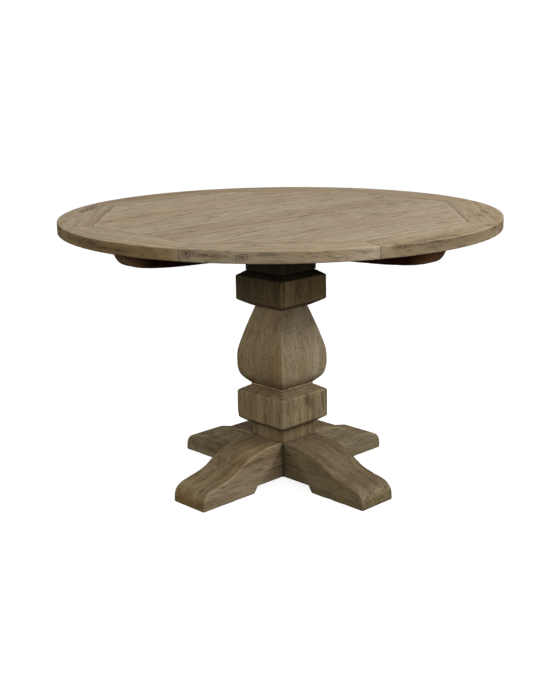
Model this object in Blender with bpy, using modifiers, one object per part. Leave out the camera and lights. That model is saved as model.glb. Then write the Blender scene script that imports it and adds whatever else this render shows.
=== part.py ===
"""Round pedestal dining table.

A planked top with an eight-piece mitred rim stands on two crossed bearers. A square column of stacked,
shaped pieces is clamped by a tie rod, and four ogee feet are dowelled to the base post.

Frame: metres, +Z up, the origin on the floor under the column's axis. The bearers and the feet run along
X and Y, and the planks run along X.
"""

import math

import bmesh
import bpy
from mathutils import Matrix, Vector

OBJECT_NAME = "round_pedestal_table"

MM = 0.001
GAP = 0.3 * MM
MERGE = 0.01 * MM
OVERSHOOT = 5 * MM
SHARP_ANGLE = math.radians(40)
SOFT_ANGLE = math.radians(25)
FLAT_ANGLE = math.radians(0.5)

# Tabletop
TOP_RADIUS = 606 * MM
TOP_HEIGHT = 762 * MM
TOP_THICKNESS = 31 * MM
TOP_EDGE_EASE = 2.5 * MM
TOP_FACETS = 96
RIM_PIECES = 8
FIELD_APOTHEM = 486 * MM
PLANK_COUNT = 8
PLANK_WIDTH = 128 * MM
BOARD_EASE = 0.6 * MM

# Tongues, grooves and loose splines inside the top
TONGUE_THICKNESS = 8 * MM
TONGUE_REACH = 8 * MM
RIM_TONGUE_LENGTH = 300 * MM
MITRE_SPLINE_WIDTH = 16 * MM
MITRE_SPLINE_START = 536 * MM
MITRE_SPLINE_END = 586 * MM

# Bearers under the top
BEARER_WIDTH = 40 * MM
BEARER_REACH = 557 * MM
BEARER_DEPTH = 76 * MM
BEARER_NOSE_DEPTH = 14 * MM
BEARER_EASE = 1.5 * MM
BEARER_SMOOTHNESS = 3
# The underside of one arm: distance from the middle, and rise above the lowest part
BEARER_UNDERSIDE = ((130 * MM, 0), (275 * MM, 6.5 * MM), (411 * MM, 14.5 * MM), (500 * MM, 25.5 * MM),
                    (540 * MM, 39.5 * MM))

# Column: half side and height of each break in its outline
NECK_HALF = 69.8 * MM
NECK_BOTTOM = 604 * MM
UPPER_BLOCK_HALF = 90.7 * MM
UPPER_SHOULDER = 590 * MM
UPPER_UNDERCUT = 521 * MM
UPPER_BOTTOM = 502.5 * MM
UPPER_BOTTOM_HALF = 58 * MM
COLLAR_TOP = 277.5 * MM
COLLAR_HALF = 62.8 * MM
LOWER_TOP = 272 * MM
LOWER_TOP_HALF = 63.2 * MM
LOWER_SHOULDER = 255.5 * MM
LOWER_BLOCK_HALF = 92 * MM
LOWER_UNDERCUT = 175.5 * MM
LOWER_BOTTOM = 162 * MM
LOWER_BOTTOM_HALF = 73 * MM
BLOCK_EASE = 2.5 * MM
BLOCK_EASE_STEPS = 2
VASE_EASE = 5 * MM
VASE_EASE_STEPS = 3
VASE_SMOOTHNESS = 3
VASE_TOP_HALF = 52.7 * MM
VASE_FOOT_HALF = 63.8 * MM
# The vase between its ends: half side and height
VASE_SHAPE = ((68.2 * MM, 454 * MM), (83.3 * MM, 402 * MM), (89.8 * MM, 372 * MM), (91.4 * MM, 340 * MM),
              (88.4 * MM, 313 * MM), (80.9 * MM, 295.5 * MM))

# Base post and feet
POST_HALF = 62 * MM
FOOT_HEIGHT = 124 * MM
FOOT_REACH = 363 * MM
ARCH_HEIGHT = 19.5 * MM
ARCH_SLOPE = 13 * MM
PAD_START = 172 * MM
FOOT_EASE = 3 * MM
FOOT_EASE_STEPS = 2
FOOT_SMOOTHNESS = 2
TOE_HEIGHT = 8 * MM
# The ogee along the top of a foot: distance from the column's axis, and height
FOOT_OGEE = ((118 * MM, FOOT_HEIGHT), (160 * MM, 117 * MM), (194 * MM, 106 * MM), (232 * MM, 85.5 * MM),
             (262 * MM, 70 * MM), (300 * MM, 61.2 * MM), (332 * MM, 54 * MM), (351 * MM, 43.5 * MM),
             (360.5 * MM, 28 * MM))

# Tie rod and its hardware
ROD_RADIUS = 6 * MM
ROD_BOTTOM = 5 * MM
ROD_TOP = 729 * MM
BORE_BOTTOM = -10 * MM
NUT_RADIUS = 11 * MM
NUT_HEIGHT = 12 * MM
FLANGE_RADIUS = 14 * MM
FLANGE_THICKNESS = 2.5 * MM
NUT_RECESS_RADIUS = 15 * MM
NUT_RECESS_FLOOR = 714 * MM

# Dowels in the column, and the tenons of the feet
DOWEL_RADIUS = 6 * MM
DOWEL_LENGTH = 40 * MM
DOWEL_OFFSET = 28 * MM
TENON_LENGTH = 30 * MM
TENON_HALF_WIDTH = 20 * MM
TENON_BOTTOM = 38 * MM
TENON_TOP = 108 * MM
TENON_ROOT = 10 * MM

# Steel plate under the feet
PLATE_THICKNESS = 4 * MM
PLATE_HALF_LENGTH = 150 * MM
PLATE_HALF_WIDTH = 22 * MM
PLATE_SCREW_PLACE = 115 * MM

# Screws
SCREW_HEAD_RADIUS = 4.5 * MM
SCREW_HEAD_HEIGHT = 3 * MM
SCREW_HEAD_FLAT = 3.6 * MM
SCREW_HEAD_RIM = 1.8 * MM
SCREW_SHANK_RADIUS = 2.4 * MM
SCREW_TIP_RADIUS = 1 * MM
SCREW_TIP_LENGTH = 6 * MM
TOP_SCREW_LENGTH = 50 * MM
TOP_SCREW_BOTTOM = 701 * MM
TOP_SCREW_PLACES = (200 * MM, 520 * MM)
TOP_SCREW_STAGGER = 11 * MM
COUNTERBORE_RADIUS = 5.5 * MM
PLATE_SCREW_LENGTH = 32 * MM

ROUND_FACETS = 12
ROD_FACETS = 16
NUT_SIDES = 6
FLANGE_FACETS = 24

TOP_UNDERSIDE = TOP_HEIGHT - TOP_THICKNESS
TONGUE_LOW = TOP_HEIGHT - (TOP_THICKNESS + TONGUE_THICKNESS) / 2
TONGUE_HIGH = TONGUE_LOW + TONGUE_THICKNESS
BEARER_BOTTOM = TOP_UNDERSIDE - BEARER_DEPTH
SECTOR = 2 * math.pi / RIM_PIECES

OAK_TOP = ("weathered_oak_top", (0.36, 0.29, 0.20), 0.62, 0.0)
OAK_RIM = ("weathered_oak_rim", (0.35, 0.28, 0.19), 0.62, 0.0)
OAK_BASE = ("weathered_oak_base", (0.19, 0.145, 0.09), 0.66, 0.0)
OAK_INNER = ("plain_hardwood", (0.46, 0.33, 0.20), 0.60, 0.0)
BARE_STEEL = ("zinc_plated_steel", (0.55, 0.55, 0.53), 0.38, 1.0)
BLACK_STEEL = ("black_steel", (0.06, 0.06, 0.06), 0.45, 1.0)


# ---------------------------------------------------------------- scene and objects

def clear_scene():
    """Remove every object, so that the script starts from nothing."""
    for old in list(bpy.data.objects):
        bpy.data.objects.remove(old, do_unlink=True)


def new_collection(name):
    """Return a new collection in the scene."""
    collection = bpy.data.collections.new(name)
    bpy.context.scene.collection.children.link(collection)
    return collection


def make_material(name, finish):
    """Return a Principled material from a (name, colour, roughness, metallic) finish."""
    finish_name, colour, roughness, metallic = finish
    material = bpy.data.materials.new(f"{finish_name}_{name}")
    material.use_nodes = True
    shader = material.node_tree.nodes["Principled BSDF"]
    shader.inputs["Base Color"].default_value = (*colour, 1.0)
    shader.inputs["Roughness"].default_value = roughness
    shader.inputs["Metallic"].default_value = metallic
    material.diffuse_color = (*colour, 1.0)
    return material


def add_object(name, mesh, finish=None):
    """Put a mesh in the part's collection, or among the cutters when it has no finish."""
    obj = bpy.data.objects.new(name, mesh)
    if finish is None:
        CUTTERS.objects.link(obj)
        obj.hide_render = True
        obj.display_type = "WIRE"
    else:
        PARTS.objects.link(obj)
        mesh.materials.append(make_material(name, finish))
    return obj


def finish_mesh(name, bm, finish=None):
    """Turn a bmesh into an object."""
    mesh = bpy.data.meshes.new(name)
    bm.to_mesh(mesh)
    bm.free()
    return add_object(name, mesh, finish)


def cut(obj, *cutters):
    """Subtract each cutter from an object."""
    for cutter in cutters:
        modifier = obj.modifiers.new(f"cut_{cutter.name}", "BOOLEAN")
        modifier.operation = "DIFFERENCE"
        modifier.solver = "EXACT"
        modifier.object = cutter


def join(obj, addition):
    """Unite an object with a shape that overlaps it."""
    modifier = obj.modifiers.new(f"join_{addition.name}", "BOOLEAN")
    modifier.operation = "UNION"
    modifier.solver = "EXACT"
    modifier.object = addition


def soften(obj, width, segments):
    """Round the object's hard edges, leaving the faint ones between facets alone."""
    modifier = obj.modifiers.new("soften", "BEVEL")
    modifier.width = width
    modifier.segments = segments
    modifier.limit_method = "ANGLE"
    modifier.angle_limit = SOFT_ANGLE


# ---------------------------------------------------------------- basic shapes

def add_box(bm, low, high, turn=None):
    """Add a box between two corners, turned about the vertical axis through the origin."""
    low = Vector(low)
    high = Vector(high)
    place = Matrix.Translation((low + high) / 2) @ Matrix.Diagonal((*(high - low), 1))
    if turn is not None:
        place = Matrix.Rotation(turn, 4, "Z") @ place
    bmesh.ops.create_cube(bm, size=1, matrix=place)


def add_cylinder(bm, radius, start, end, facets=ROUND_FACETS):
    """Add a closed cylinder from one point to another."""
    start = Vector(start)
    end = Vector(end)
    along = end - start
    turn = along.to_track_quat("Z", "Y").to_matrix().to_4x4()
    place = Matrix.Translation((start + end) / 2) @ turn
    bmesh.ops.create_cone(bm, cap_ends=True, segments=facets, radius1=radius, radius2=radius,
                          depth=along.length, matrix=place)


def slice_off(bm, point, normal):
    """Cut away what lies beyond a plane and close the cut."""
    geometry = bm.verts[:] + bm.edges[:] + bm.faces[:]
    result = bmesh.ops.bisect_plane(bm, geom=geometry, dist=MERGE, plane_co=point, plane_no=normal,
                                    clear_outer=True)
    edges = [item for item in result["geom_cut"] if isinstance(item, bmesh.types.BMEdge)]
    bmesh.ops.holes_fill(bm, edges=edges)


def smooth_curve(points, pieces):
    """Return points on a Catmull-Rom curve through the given (a, b) points."""
    padded = [points[0], *points, points[-1]]
    curve = []
    for before, start, end, after in zip(padded, padded[1:], padded[2:], padded[3:]):
        for piece in range(pieces):
            t = piece / pieces
            curve.append(tuple(
                0.5 * (2 * p1 + (p2 - p0) * t + (2 * p0 - 5 * p1 + 4 * p2 - p3) * t ** 2
                       + (3 * p1 - p0 - 3 * p2 + p3) * t ** 3)
                for p0, p1, p2, p3 in zip(before, start, end, after)))
    curve.append(points[-1])
    return curve


def curve_solid(name, outline, low, high, place):
    """Return a mesh of a flat outline made thick from low to high, then placed by a matrix."""
    curve = bpy.data.curves.new(name, "CURVE")
    curve.dimensions = "2D"
    curve.fill_mode = "BOTH"
    curve.extrude = (high - low) / 2
    spline = curve.splines.new("POLY")
    spline.points.add(len(outline) - 1)
    for point, (across, up) in zip(spline.points, outline):
        point.co = (across, up, 0, 1)
    spline.use_cyclic_u = True
    guide = bpy.data.objects.new(name + "_outline", curve)
    CUTTERS.objects.link(guide)
    bpy.context.view_layer.update()
    evaluated = guide.evaluated_get(bpy.context.evaluated_depsgraph_get())
    mesh = bpy.data.meshes.new_from_object(evaluated)
    bpy.data.objects.remove(guide, do_unlink=True)
    bm = bmesh.new()
    bm.from_mesh(mesh)
    bmesh.ops.remove_doubles(bm, verts=bm.verts[:], dist=MERGE)
    bmesh.ops.dissolve_limit(bm, angle_limit=FLAT_ANGLE, verts=bm.verts[:], edges=bm.edges[:])
    bmesh.ops.translate(bm, verts=bm.verts[:], vec=(0, 0, (low + high) / 2))
    bmesh.ops.transform(bm, verts=bm.verts[:], matrix=place)
    bmesh.ops.recalc_face_normals(bm, faces=bm.faces[:])
    bpy.data.meshes.remove(mesh)
    return bm


def turned_mesh(name, profile, facets):
    """Return the mesh of a profile, listed top to bottom as (radius, height), turned about Z."""
    mesh = bpy.data.meshes.new(name)
    bm = bmesh.new()
    verts = [bm.verts.new((radius, 0, height)) for radius, height in profile]
    for upper, lower in zip(verts, verts[1:]):
        bm.edges.new((upper, lower))
    bm.to_mesh(mesh)
    bm.free()
    obj = bpy.data.objects.new(name, mesh)
    modifier = obj.modifiers.new("turn", "SCREW")
    modifier.steps = facets
    modifier.render_steps = facets
    modifier.use_merge_vertices = True
    modifier.merge_threshold = MERGE
    return obj


def square_turning(name, profile, ease, segments, finish):
    """Make a four-sided solid from a (half side, height) profile listed top to bottom."""
    diagonal = [(half * math.sqrt(2), height) for half, height in profile]
    obj = turned_mesh(name, diagonal, 4)
    obj.rotation_euler.z = math.radians(45)
    PARTS.objects.link(obj)
    obj.data.materials.append(make_material(name, finish))
    soften(obj, ease, segments)
    return obj


# ---------------------------------------------------------------- tabletop

def add_rim_tongue(bm, index, inward, outward, growth):
    """Add the tongue on the straight inner edge of a rim board, reaching in and out from that edge."""
    side = RIM_TONGUE_LENGTH / 2 + growth
    add_box(bm, (FIELD_APOTHEM - inward, -side, TONGUE_LOW - growth),
            (FIELD_APOTHEM + outward, side, TONGUE_HIGH + growth), index * SECTOR)


def add_mitre_spline(bm, index, growth):
    """Add the loose spline across the mitre that follows a rim board."""
    side = MITRE_SPLINE_WIDTH / 2 + growth
    add_box(bm, (MITRE_SPLINE_START - growth, -side, TONGUE_LOW - growth),
            (MITRE_SPLINE_END + growth, side, TONGUE_HIGH + growth), (index + 0.5) * SECTOR)


def top_screw_spots():
    """Return the (x, y) of every screw that holds the top to the bearers."""
    spots = []
    for index, reach in enumerate(TOP_SCREW_PLACES):
        stagger = TOP_SCREW_STAGGER * (-1) ** index
        spots += [(reach, stagger), (-reach, -stagger), (0, reach), (0, -reach)]
    return spots


def make_pilot_cutter():
    """Make the cutter for the screws' pilot holes in the top."""
    bm = bmesh.new()
    for x, y in top_screw_spots():
        add_cylinder(bm, SCREW_SHANK_RADIUS + GAP, (x, y, TOP_UNDERSIDE - OVERSHOOT),
                     (x, y, TOP_SCREW_BOTTOM + TOP_SCREW_LENGTH + GAP))
    return finish_mesh("pilot_hole_cutter", bm)


def make_plank_groove_cutter():
    """Make the cutter for the grooves that take the rim's tongues."""
    bm = bmesh.new()
    for index in range(RIM_PIECES):
        add_rim_tongue(bm, index, TONGUE_REACH + GAP, OVERSHOOT, GAP)
    return finish_mesh("plank_groove_cutter", bm)


def make_spline_slot_cutter():
    """Make the cutter for the slots across the rim's mitres."""
    bm = bmesh.new()
    for index in range(RIM_PIECES):
        add_mitre_spline(bm, index, GAP)
    return finish_mesh("spline_slot_cutter", bm)


def ease_all_edges(bm, width):
    """Take the sharpness off a board's hard edges."""
    edges = [edge for edge in bm.edges if edge.calc_face_angle(0) > SHARP_ANGLE]
    bmesh.ops.bevel(bm, geom=edges, offset=width, offset_type="OFFSET", segments=1, profile=0.5,
                    affect="EDGES", clamp_overlap=True, material=-1)


def plank_section(index):
    """Return a plank's end outline as (y, z), with a groove on its low side and a tongue on its high side."""
    edge = FIELD_APOTHEM - GAP / 2
    low = max((index - PLANK_COUNT / 2) * PLANK_WIDTH + GAP / 2, -edge)
    high = min((index + 1 - PLANK_COUNT / 2) * PLANK_WIDTH - GAP / 2, edge)
    ease = BOARD_EASE
    outline = [(low, TOP_UNDERSIDE + ease), (low + ease, TOP_UNDERSIDE), (high - ease, TOP_UNDERSIDE),
               (high, TOP_UNDERSIDE + ease)]
    if index < PLANK_COUNT - 1:
        tip = high + TONGUE_REACH
        outline += [(high, TONGUE_LOW), (tip, TONGUE_LOW), (tip, TONGUE_HIGH), (high, TONGUE_HIGH)]
    outline += [(high, TOP_HEIGHT - ease), (high - ease, TOP_HEIGHT), (low + ease, TOP_HEIGHT),
                (low, TOP_HEIGHT - ease)]
    if index > 0:
        depth = low + TONGUE_REACH + GAP
        outline += [(low, TONGUE_HIGH + GAP), (depth, TONGUE_HIGH + GAP), (depth, TONGUE_LOW - GAP),
                    (low, TONGUE_LOW - GAP)]
    return outline


def make_field_plank(index, cutters):
    """Make one plank of the field, cut to the eight-sided outline."""
    edge = FIELD_APOTHEM - GAP / 2
    along_x = Matrix(((0, 0, 1, 0), (1, 0, 0, 0), (0, 1, 0, 0), (0, 0, 0, 1)))
    bm = curve_solid(f"plank_{index + 1}", plank_section(index), -edge, edge, along_x)
    for corner in range(4):
        angle = (corner + 0.5) * math.pi / 2
        normal = Vector((math.cos(angle), math.sin(angle), 0))
        slice_off(bm, normal * edge, normal)
    plank = finish_mesh(f"field_plank_{index + 1}", bm, OAK_TOP)
    cut(plank, *cutters)


def make_rim_segment(index, cutters):
    """Make one curved board of the rim, between the field and two mitres."""
    angle = index * SECTOR
    bm = bmesh.new()
    add_cylinder(bm, TOP_RADIUS, (0, 0, TOP_UNDERSIDE), (0, 0, TOP_HEIGHT), TOP_FACETS)
    rims = [edge for edge in bm.edges if edge.calc_face_angle(0) > SHARP_ANGLE]
    bmesh.ops.bevel(bm, geom=rims, offset=TOP_EDGE_EASE, offset_type="OFFSET", segments=2, profile=0.5,
                    affect="EDGES", clamp_overlap=True, material=-1)
    outward = Vector((math.cos(angle), math.sin(angle), 0))
    slice_off(bm, outward * (FIELD_APOTHEM + GAP / 2), -outward)
    for side in (-1, 1):
        mitre = angle + side * SECTOR / 2
        across = Vector((-math.sin(mitre), math.cos(mitre), 0)) * side
        slice_off(bm, -across * GAP / 2, across)
    ease_all_edges(bm, BOARD_EASE)
    segment = finish_mesh(f"rim_segment_{index + 1}", bm, OAK_RIM)
    tongue = bmesh.new()
    add_rim_tongue(tongue, index, TONGUE_REACH, OVERSHOOT, 0)
    join(segment, finish_mesh(f"rim_tongue_{index + 1}", tongue))
    cut(segment, *cutters)


def make_top():
    """Make the tabletop and the splines in its mitres."""
    pilot_cutter = make_pilot_cutter()
    groove_cutter = make_plank_groove_cutter()
    slot_cutter = make_spline_slot_cutter()
    for index in range(PLANK_COUNT):
        make_field_plank(index, (groove_cutter, pilot_cutter))
    for index in range(RIM_PIECES):
        make_rim_segment(index, (slot_cutter, pilot_cutter))
        spline = bmesh.new()
        add_mitre_spline(spline, index, 0)
        finish_mesh(f"mitre_spline_{index + 1}", spline, OAK_INNER)


# ---------------------------------------------------------------- bearers

def bearer_outline():
    """Return the side outline of a bearer, from one nose to the other."""
    top = TOP_UNDERSIDE - GAP
    arm = [(across, BEARER_BOTTOM + rise) for across, rise in BEARER_UNDERSIDE]
    underside = smooth_curve([*arm, (BEARER_REACH, TOP_UNDERSIDE - BEARER_NOSE_DEPTH)], BEARER_SMOOTHNESS)
    left = [(-across, up) for across, up in reversed(underside)]
    return [(-BEARER_REACH, top), *left, *underside, (BEARER_REACH, top)]


def make_bearer_cutters():
    """Make the cutters for the rod's nut recess and for the screws' counterbores."""
    recess = bmesh.new()
    above = TOP_UNDERSIDE + OVERSHOOT
    add_cylinder(recess, NUT_RECESS_RADIUS, (0, 0, NUT_RECESS_FLOOR), (0, 0, above), ROD_FACETS)
    bores = bmesh.new()
    for x, y in top_screw_spots():
        add_cylinder(bores, COUNTERBORE_RADIUS, (x, y, BEARER_BOTTOM - OVERSHOOT),
                     (x, y, TOP_SCREW_BOTTOM + SCREW_HEAD_HEIGHT + GAP))
    shanks = bmesh.new()
    for x, y in top_screw_spots():
        add_cylinder(shanks, SCREW_SHANK_RADIUS + GAP, (x, y, BEARER_BOTTOM - OVERSHOOT), (x, y, above))
    return (finish_mesh("nut_recess_cutter", recess), finish_mesh("counterbore_cutter", bores),
            finish_mesh("shank_hole_cutter", shanks))


def make_lap_cutter(name, low, high, turn):
    """Make the cutter for one half of the cross lap between the bearers."""
    half = BEARER_WIDTH / 2 + GAP
    bm = bmesh.new()
    add_box(bm, (-half, -BEARER_WIDTH, low), (half, BEARER_WIDTH, high), turn)
    return finish_mesh(name, bm)


def make_bearers(rod_cutter):
    """Make the two crossed bearers, half lapped over the column."""
    middle = (BEARER_BOTTOM + TOP_UNDERSIDE) / 2
    upper_lap = make_lap_cutter("upper_lap_cutter", middle, TOP_UNDERSIDE + OVERSHOOT, 0)
    lower_lap = make_lap_cutter("lower_lap_cutter", BEARER_BOTTOM - OVERSHOOT, middle + GAP,
                                 math.pi / 2)
    cutters = make_bearer_cutters()
    stand = Matrix.Rotation(math.pi / 2, 4, "X")
    for name, turn, lap in (("bearer_x", 0, upper_lap), ("bearer_y", math.pi / 2, lower_lap)):
        place = Matrix.Rotation(turn, 4, "Z") @ stand
        bm = curve_solid(name, bearer_outline(), -BEARER_WIDTH / 2, BEARER_WIDTH / 2, place)
        bearer = finish_mesh(name, bm, OAK_BASE)
        soften(bearer, BEARER_EASE, 1)
        cut(bearer, lap, rod_cutter, *cutters)


# ---------------------------------------------------------------- column

def vase_profile():
    """Return the vase's outline: a long shoulder, a full belly low down and a quick turn in at the foot."""
    ends = (VASE_TOP_HALF, UPPER_BOTTOM - GAP / 2), (VASE_FOOT_HALF, COLLAR_TOP + GAP / 2)
    outline = smooth_curve([ends[0], *VASE_SHAPE, ends[1]], VASE_SMOOTHNESS)
    return [(0, outline[0][1]), *outline, (0, outline[-1][1])]


def column_profiles():
    """Return the name, outline and edge softness of each stacked piece, from the top down."""
    inset = GAP / 2
    return [
        ("neck", [(0, TOP_UNDERSIDE - GAP), (NECK_HALF, TOP_UNDERSIDE - GAP),
                  (NECK_HALF, NECK_BOTTOM + inset), (0, NECK_BOTTOM + inset)], BOARD_EASE),
        ("upper_block", [(0, NECK_BOTTOM - inset), (NECK_HALF, NECK_BOTTOM - inset),
                         (UPPER_BLOCK_HALF, UPPER_SHOULDER), (UPPER_BLOCK_HALF, UPPER_UNDERCUT),
                         (UPPER_BOTTOM_HALF, UPPER_BOTTOM + inset), (0, UPPER_BOTTOM + inset)], BLOCK_EASE),
        ("vase", vase_profile(), VASE_EASE),
        ("collar_plate", [(0, COLLAR_TOP - inset), (COLLAR_HALF, COLLAR_TOP - inset),
                          (COLLAR_HALF, LOWER_TOP + inset), (0, LOWER_TOP + inset)], BOARD_EASE),
        ("lower_block", [(0, LOWER_TOP - inset), (LOWER_TOP_HALF, LOWER_TOP - inset),
                         (LOWER_BLOCK_HALF, LOWER_SHOULDER), (LOWER_BLOCK_HALF, LOWER_UNDERCUT),
                         (LOWER_BOTTOM_HALF, LOWER_BOTTOM + inset), (0, LOWER_BOTTOM + inset)], BLOCK_EASE),
        ("base_post", [(0, LOWER_BOTTOM - inset), (POST_HALF, LOWER_BOTTOM - inset), (POST_HALF, ARCH_HEIGHT),
                       (0, ARCH_HEIGHT)], BOARD_EASE),
    ]


def make_dowels():
    """Make the dowel across each joint of the column, and return the cutter for their holes."""
    holes = bmesh.new()
    joints = (LOWER_BOTTOM, (LOWER_TOP + COLLAR_TOP) / 2, UPPER_BOTTOM, NECK_BOTTOM)
    for index, joint in enumerate(joints):
        low = Vector((DOWEL_OFFSET, DOWEL_OFFSET, joint - DOWEL_LENGTH / 2))
        high = Vector((DOWEL_OFFSET, DOWEL_OFFSET, joint + DOWEL_LENGTH / 2))
        clearance = Vector((0, 0, GAP))
        dowel = bmesh.new()
        add_cylinder(dowel, DOWEL_RADIUS, low, high)
        finish_mesh(f"column_dowel_{index + 1}", dowel, OAK_INNER)
        add_cylinder(holes, DOWEL_RADIUS + GAP, low - clearance, high + clearance)
    return finish_mesh("dowel_hole_cutter", holes)


def make_neck_slots():
    """Make the cutters for the crossed slots that the bearers sit in."""
    slots = []
    half = BEARER_WIDTH / 2 + GAP
    for index in range(2):
        bm = bmesh.new()
        add_box(bm, (-2 * NECK_HALF, -half, BEARER_BOTTOM - GAP), (2 * NECK_HALF, half, TOP_HEIGHT),
                index * math.pi / 2)
        slots.append(finish_mesh(f"neck_slot_cutter_{index + 1}", bm))
    return slots


def make_column(rod_cutter, plate_cutter):
    """Make the stacked column pieces, bored for the rod and the dowels."""
    dowel_cutter = make_dowels()
    for name, profile, ease in column_profiles():
        segments = VASE_EASE_STEPS if name == "vase" else BLOCK_EASE_STEPS
        piece = square_turning(name, profile, ease, segments, OAK_BASE)
        cut(piece, rod_cutter, dowel_cutter)
        if name == "neck":
            cut(piece, *make_neck_slots())
        if name == "base_post":
            cut(piece, make_mortise_cutter(), plate_cutter)


# ---------------------------------------------------------------- feet

def foot_outline():
    """Return a foot's side outline: flat shoulder, ogee, rounded toe, pad and arch."""
    curve = smooth_curve([*FOOT_OGEE, (FOOT_REACH, TOE_HEIGHT)], FOOT_SMOOTHNESS)
    inner = POST_HALF + GAP
    return [(inner, ARCH_HEIGHT), (inner, FOOT_HEIGHT), *curve, (FOOT_REACH, 0), (PAD_START, 0),
            (PAD_START - ARCH_SLOPE, ARCH_HEIGHT)]


def add_tenon(bm, quarter, growth, root):
    """Add the tenon of one foot, grown on every side, with its root inside the foot."""
    low = (POST_HALF - TENON_LENGTH - growth, -TENON_HALF_WIDTH - growth, TENON_BOTTOM - growth)
    high = (POST_HALF + root, TENON_HALF_WIDTH + growth, TENON_TOP + growth)
    add_box(bm, low, high, quarter * math.pi / 2)


def make_mortise_cutter():
    """Make the cutter for the mortises in the base post."""
    bm = bmesh.new()
    for quarter in range(4):
        add_tenon(bm, quarter, GAP, OVERSHOOT)
    return finish_mesh("mortise_cutter", bm)


def ease_foot(bm):
    """Round a foot's long edges, but not those where it meets the base post."""
    inner = POST_HALF + 2 * GAP
    edges = [edge for edge in bm.edges
             if edge.calc_face_angle(0) > SHARP_ANGLE and max(vert.co.x for vert in edge.verts) > inner]
    bmesh.ops.bevel(bm, geom=edges, offset=FOOT_EASE, offset_type="OFFSET", segments=FOOT_EASE_STEPS,
                    profile=0.5, affect="EDGES", clamp_overlap=True, material=-1)


def make_feet(plate_cutter, plate_screw_cutter):
    """Make the four feet around the base post, each with a tenon into it."""
    stand = Matrix.Rotation(math.pi / 2, 4, "X")
    for quarter, name in enumerate(("foot_right", "foot_back", "foot_left", "foot_front")):
        bm = curve_solid(name, foot_outline(), -POST_HALF, POST_HALF, stand)
        ease_foot(bm)
        turn = Matrix.Rotation(quarter * math.pi / 2, 4, "Z")
        bmesh.ops.transform(bm, verts=bm.verts[:], matrix=turn)
        foot = finish_mesh(name, bm, OAK_BASE)
        tenon = bmesh.new()
        add_tenon(tenon, quarter, 0, TENON_ROOT)
        join(foot, finish_mesh(f"{name}_tenon", tenon))
        cut(foot, plate_cutter, plate_screw_cutter)


# ---------------------------------------------------------------- metal

def cross_outline(half_length, half_width):
    """Return the outline of a cross with equal arms."""
    arm = [(half_length, -half_width), (half_length, half_width), (half_width, half_width)]
    outline = []
    for quarter in range(4):
        turn = Matrix.Rotation(quarter * math.pi / 2, 2)
        outline += [tuple(turn @ Vector(point)) for point in arm]
    return outline


def make_rod_and_cutter():
    """Make the tie rod, and return the cutter for its bore."""
    rod = bmesh.new()
    add_cylinder(rod, ROD_RADIUS, (0, 0, ROD_BOTTOM), (0, 0, ROD_TOP), ROD_FACETS)
    finish_mesh("tie_rod", rod, BARE_STEEL)
    bore = bmesh.new()
    add_cylinder(bore, ROD_RADIUS + GAP, (0, 0, BORE_BOTTOM), (0, 0, TOP_UNDERSIDE - MM), ROD_FACETS)
    return finish_mesh("rod_bore_cutter", bore)


def make_flange_nut(name, seat, way, rod_cutter):
    """Make a flange nut on the rod, its flange on a seat and its body above (1) or below (-1)."""
    body = bmesh.new()
    flange = bmesh.new()
    add_cylinder(body, NUT_RADIUS, (0, 0, seat + way * MM), (0, 0, seat + way * NUT_HEIGHT), NUT_SIDES)
    add_cylinder(flange, FLANGE_RADIUS, (0, 0, seat), (0, 0, seat + way * FLANGE_THICKNESS), FLANGE_FACETS)
    nut = finish_mesh(name, body, BARE_STEEL)
    join(nut, finish_mesh(f"{name}_flange", flange))
    cut(nut, rod_cutter)


def make_screws(name, length, height, spots):
    """Make a screw at every spot, its head down at a height and its shank upwards."""
    profile = [(0, length), (SCREW_TIP_RADIUS, length), (SCREW_SHANK_RADIUS, length - SCREW_TIP_LENGTH),
               (SCREW_SHANK_RADIUS, SCREW_HEAD_HEIGHT), (SCREW_HEAD_RADIUS, SCREW_HEAD_RIM),
               (SCREW_HEAD_FLAT, 0), (0, 0)]
    first = turned_mesh(f"{name}_1", profile, ROUND_FACETS)
    first.data.materials.append(make_material(name, BARE_STEEL))
    for index, (x, y) in enumerate(spots):
        screw = first if index == 0 else first.copy()
        screw.name = f"{name}_{index + 1}"
        screw.location = (x, y, height)
        PARTS.objects.link(screw)


def plate_screw_spots():
    """Return the (x, y) of the screws that hold the plate to the feet."""
    reach = PLATE_SCREW_PLACE
    return [(reach, 0), (-reach, 0), (0, reach), (0, -reach)]


def make_plate(rod_cutter):
    """Make the steel cross plate, and return the cutters for its recess and its screws."""
    outline = cross_outline(PLATE_HALF_LENGTH, PLATE_HALF_WIDTH)
    bm = curve_solid("foot_plate", outline, ARCH_HEIGHT, ARCH_HEIGHT + PLATE_THICKNESS, Matrix.Identity(4))
    plate = finish_mesh("foot_plate", bm, BLACK_STEEL)
    grown = cross_outline(PLATE_HALF_LENGTH + GAP, PLATE_HALF_WIDTH + GAP)
    recess = curve_solid("plate_recess", grown, ARCH_HEIGHT - OVERSHOOT, ARCH_HEIGHT + PLATE_THICKNESS + GAP,
                         Matrix.Identity(4))
    recess_cutter = finish_mesh("plate_recess_cutter", recess)
    holes = bmesh.new()
    for x, y in plate_screw_spots():
        add_cylinder(holes, SCREW_SHANK_RADIUS + GAP, (x, y, 0), (x, y, ARCH_HEIGHT + PLATE_SCREW_LENGTH))
    screw_cutter = finish_mesh("plate_screw_cutter", holes)
    cut(plate, rod_cutter, screw_cutter)
    return recess_cutter, screw_cutter


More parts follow.
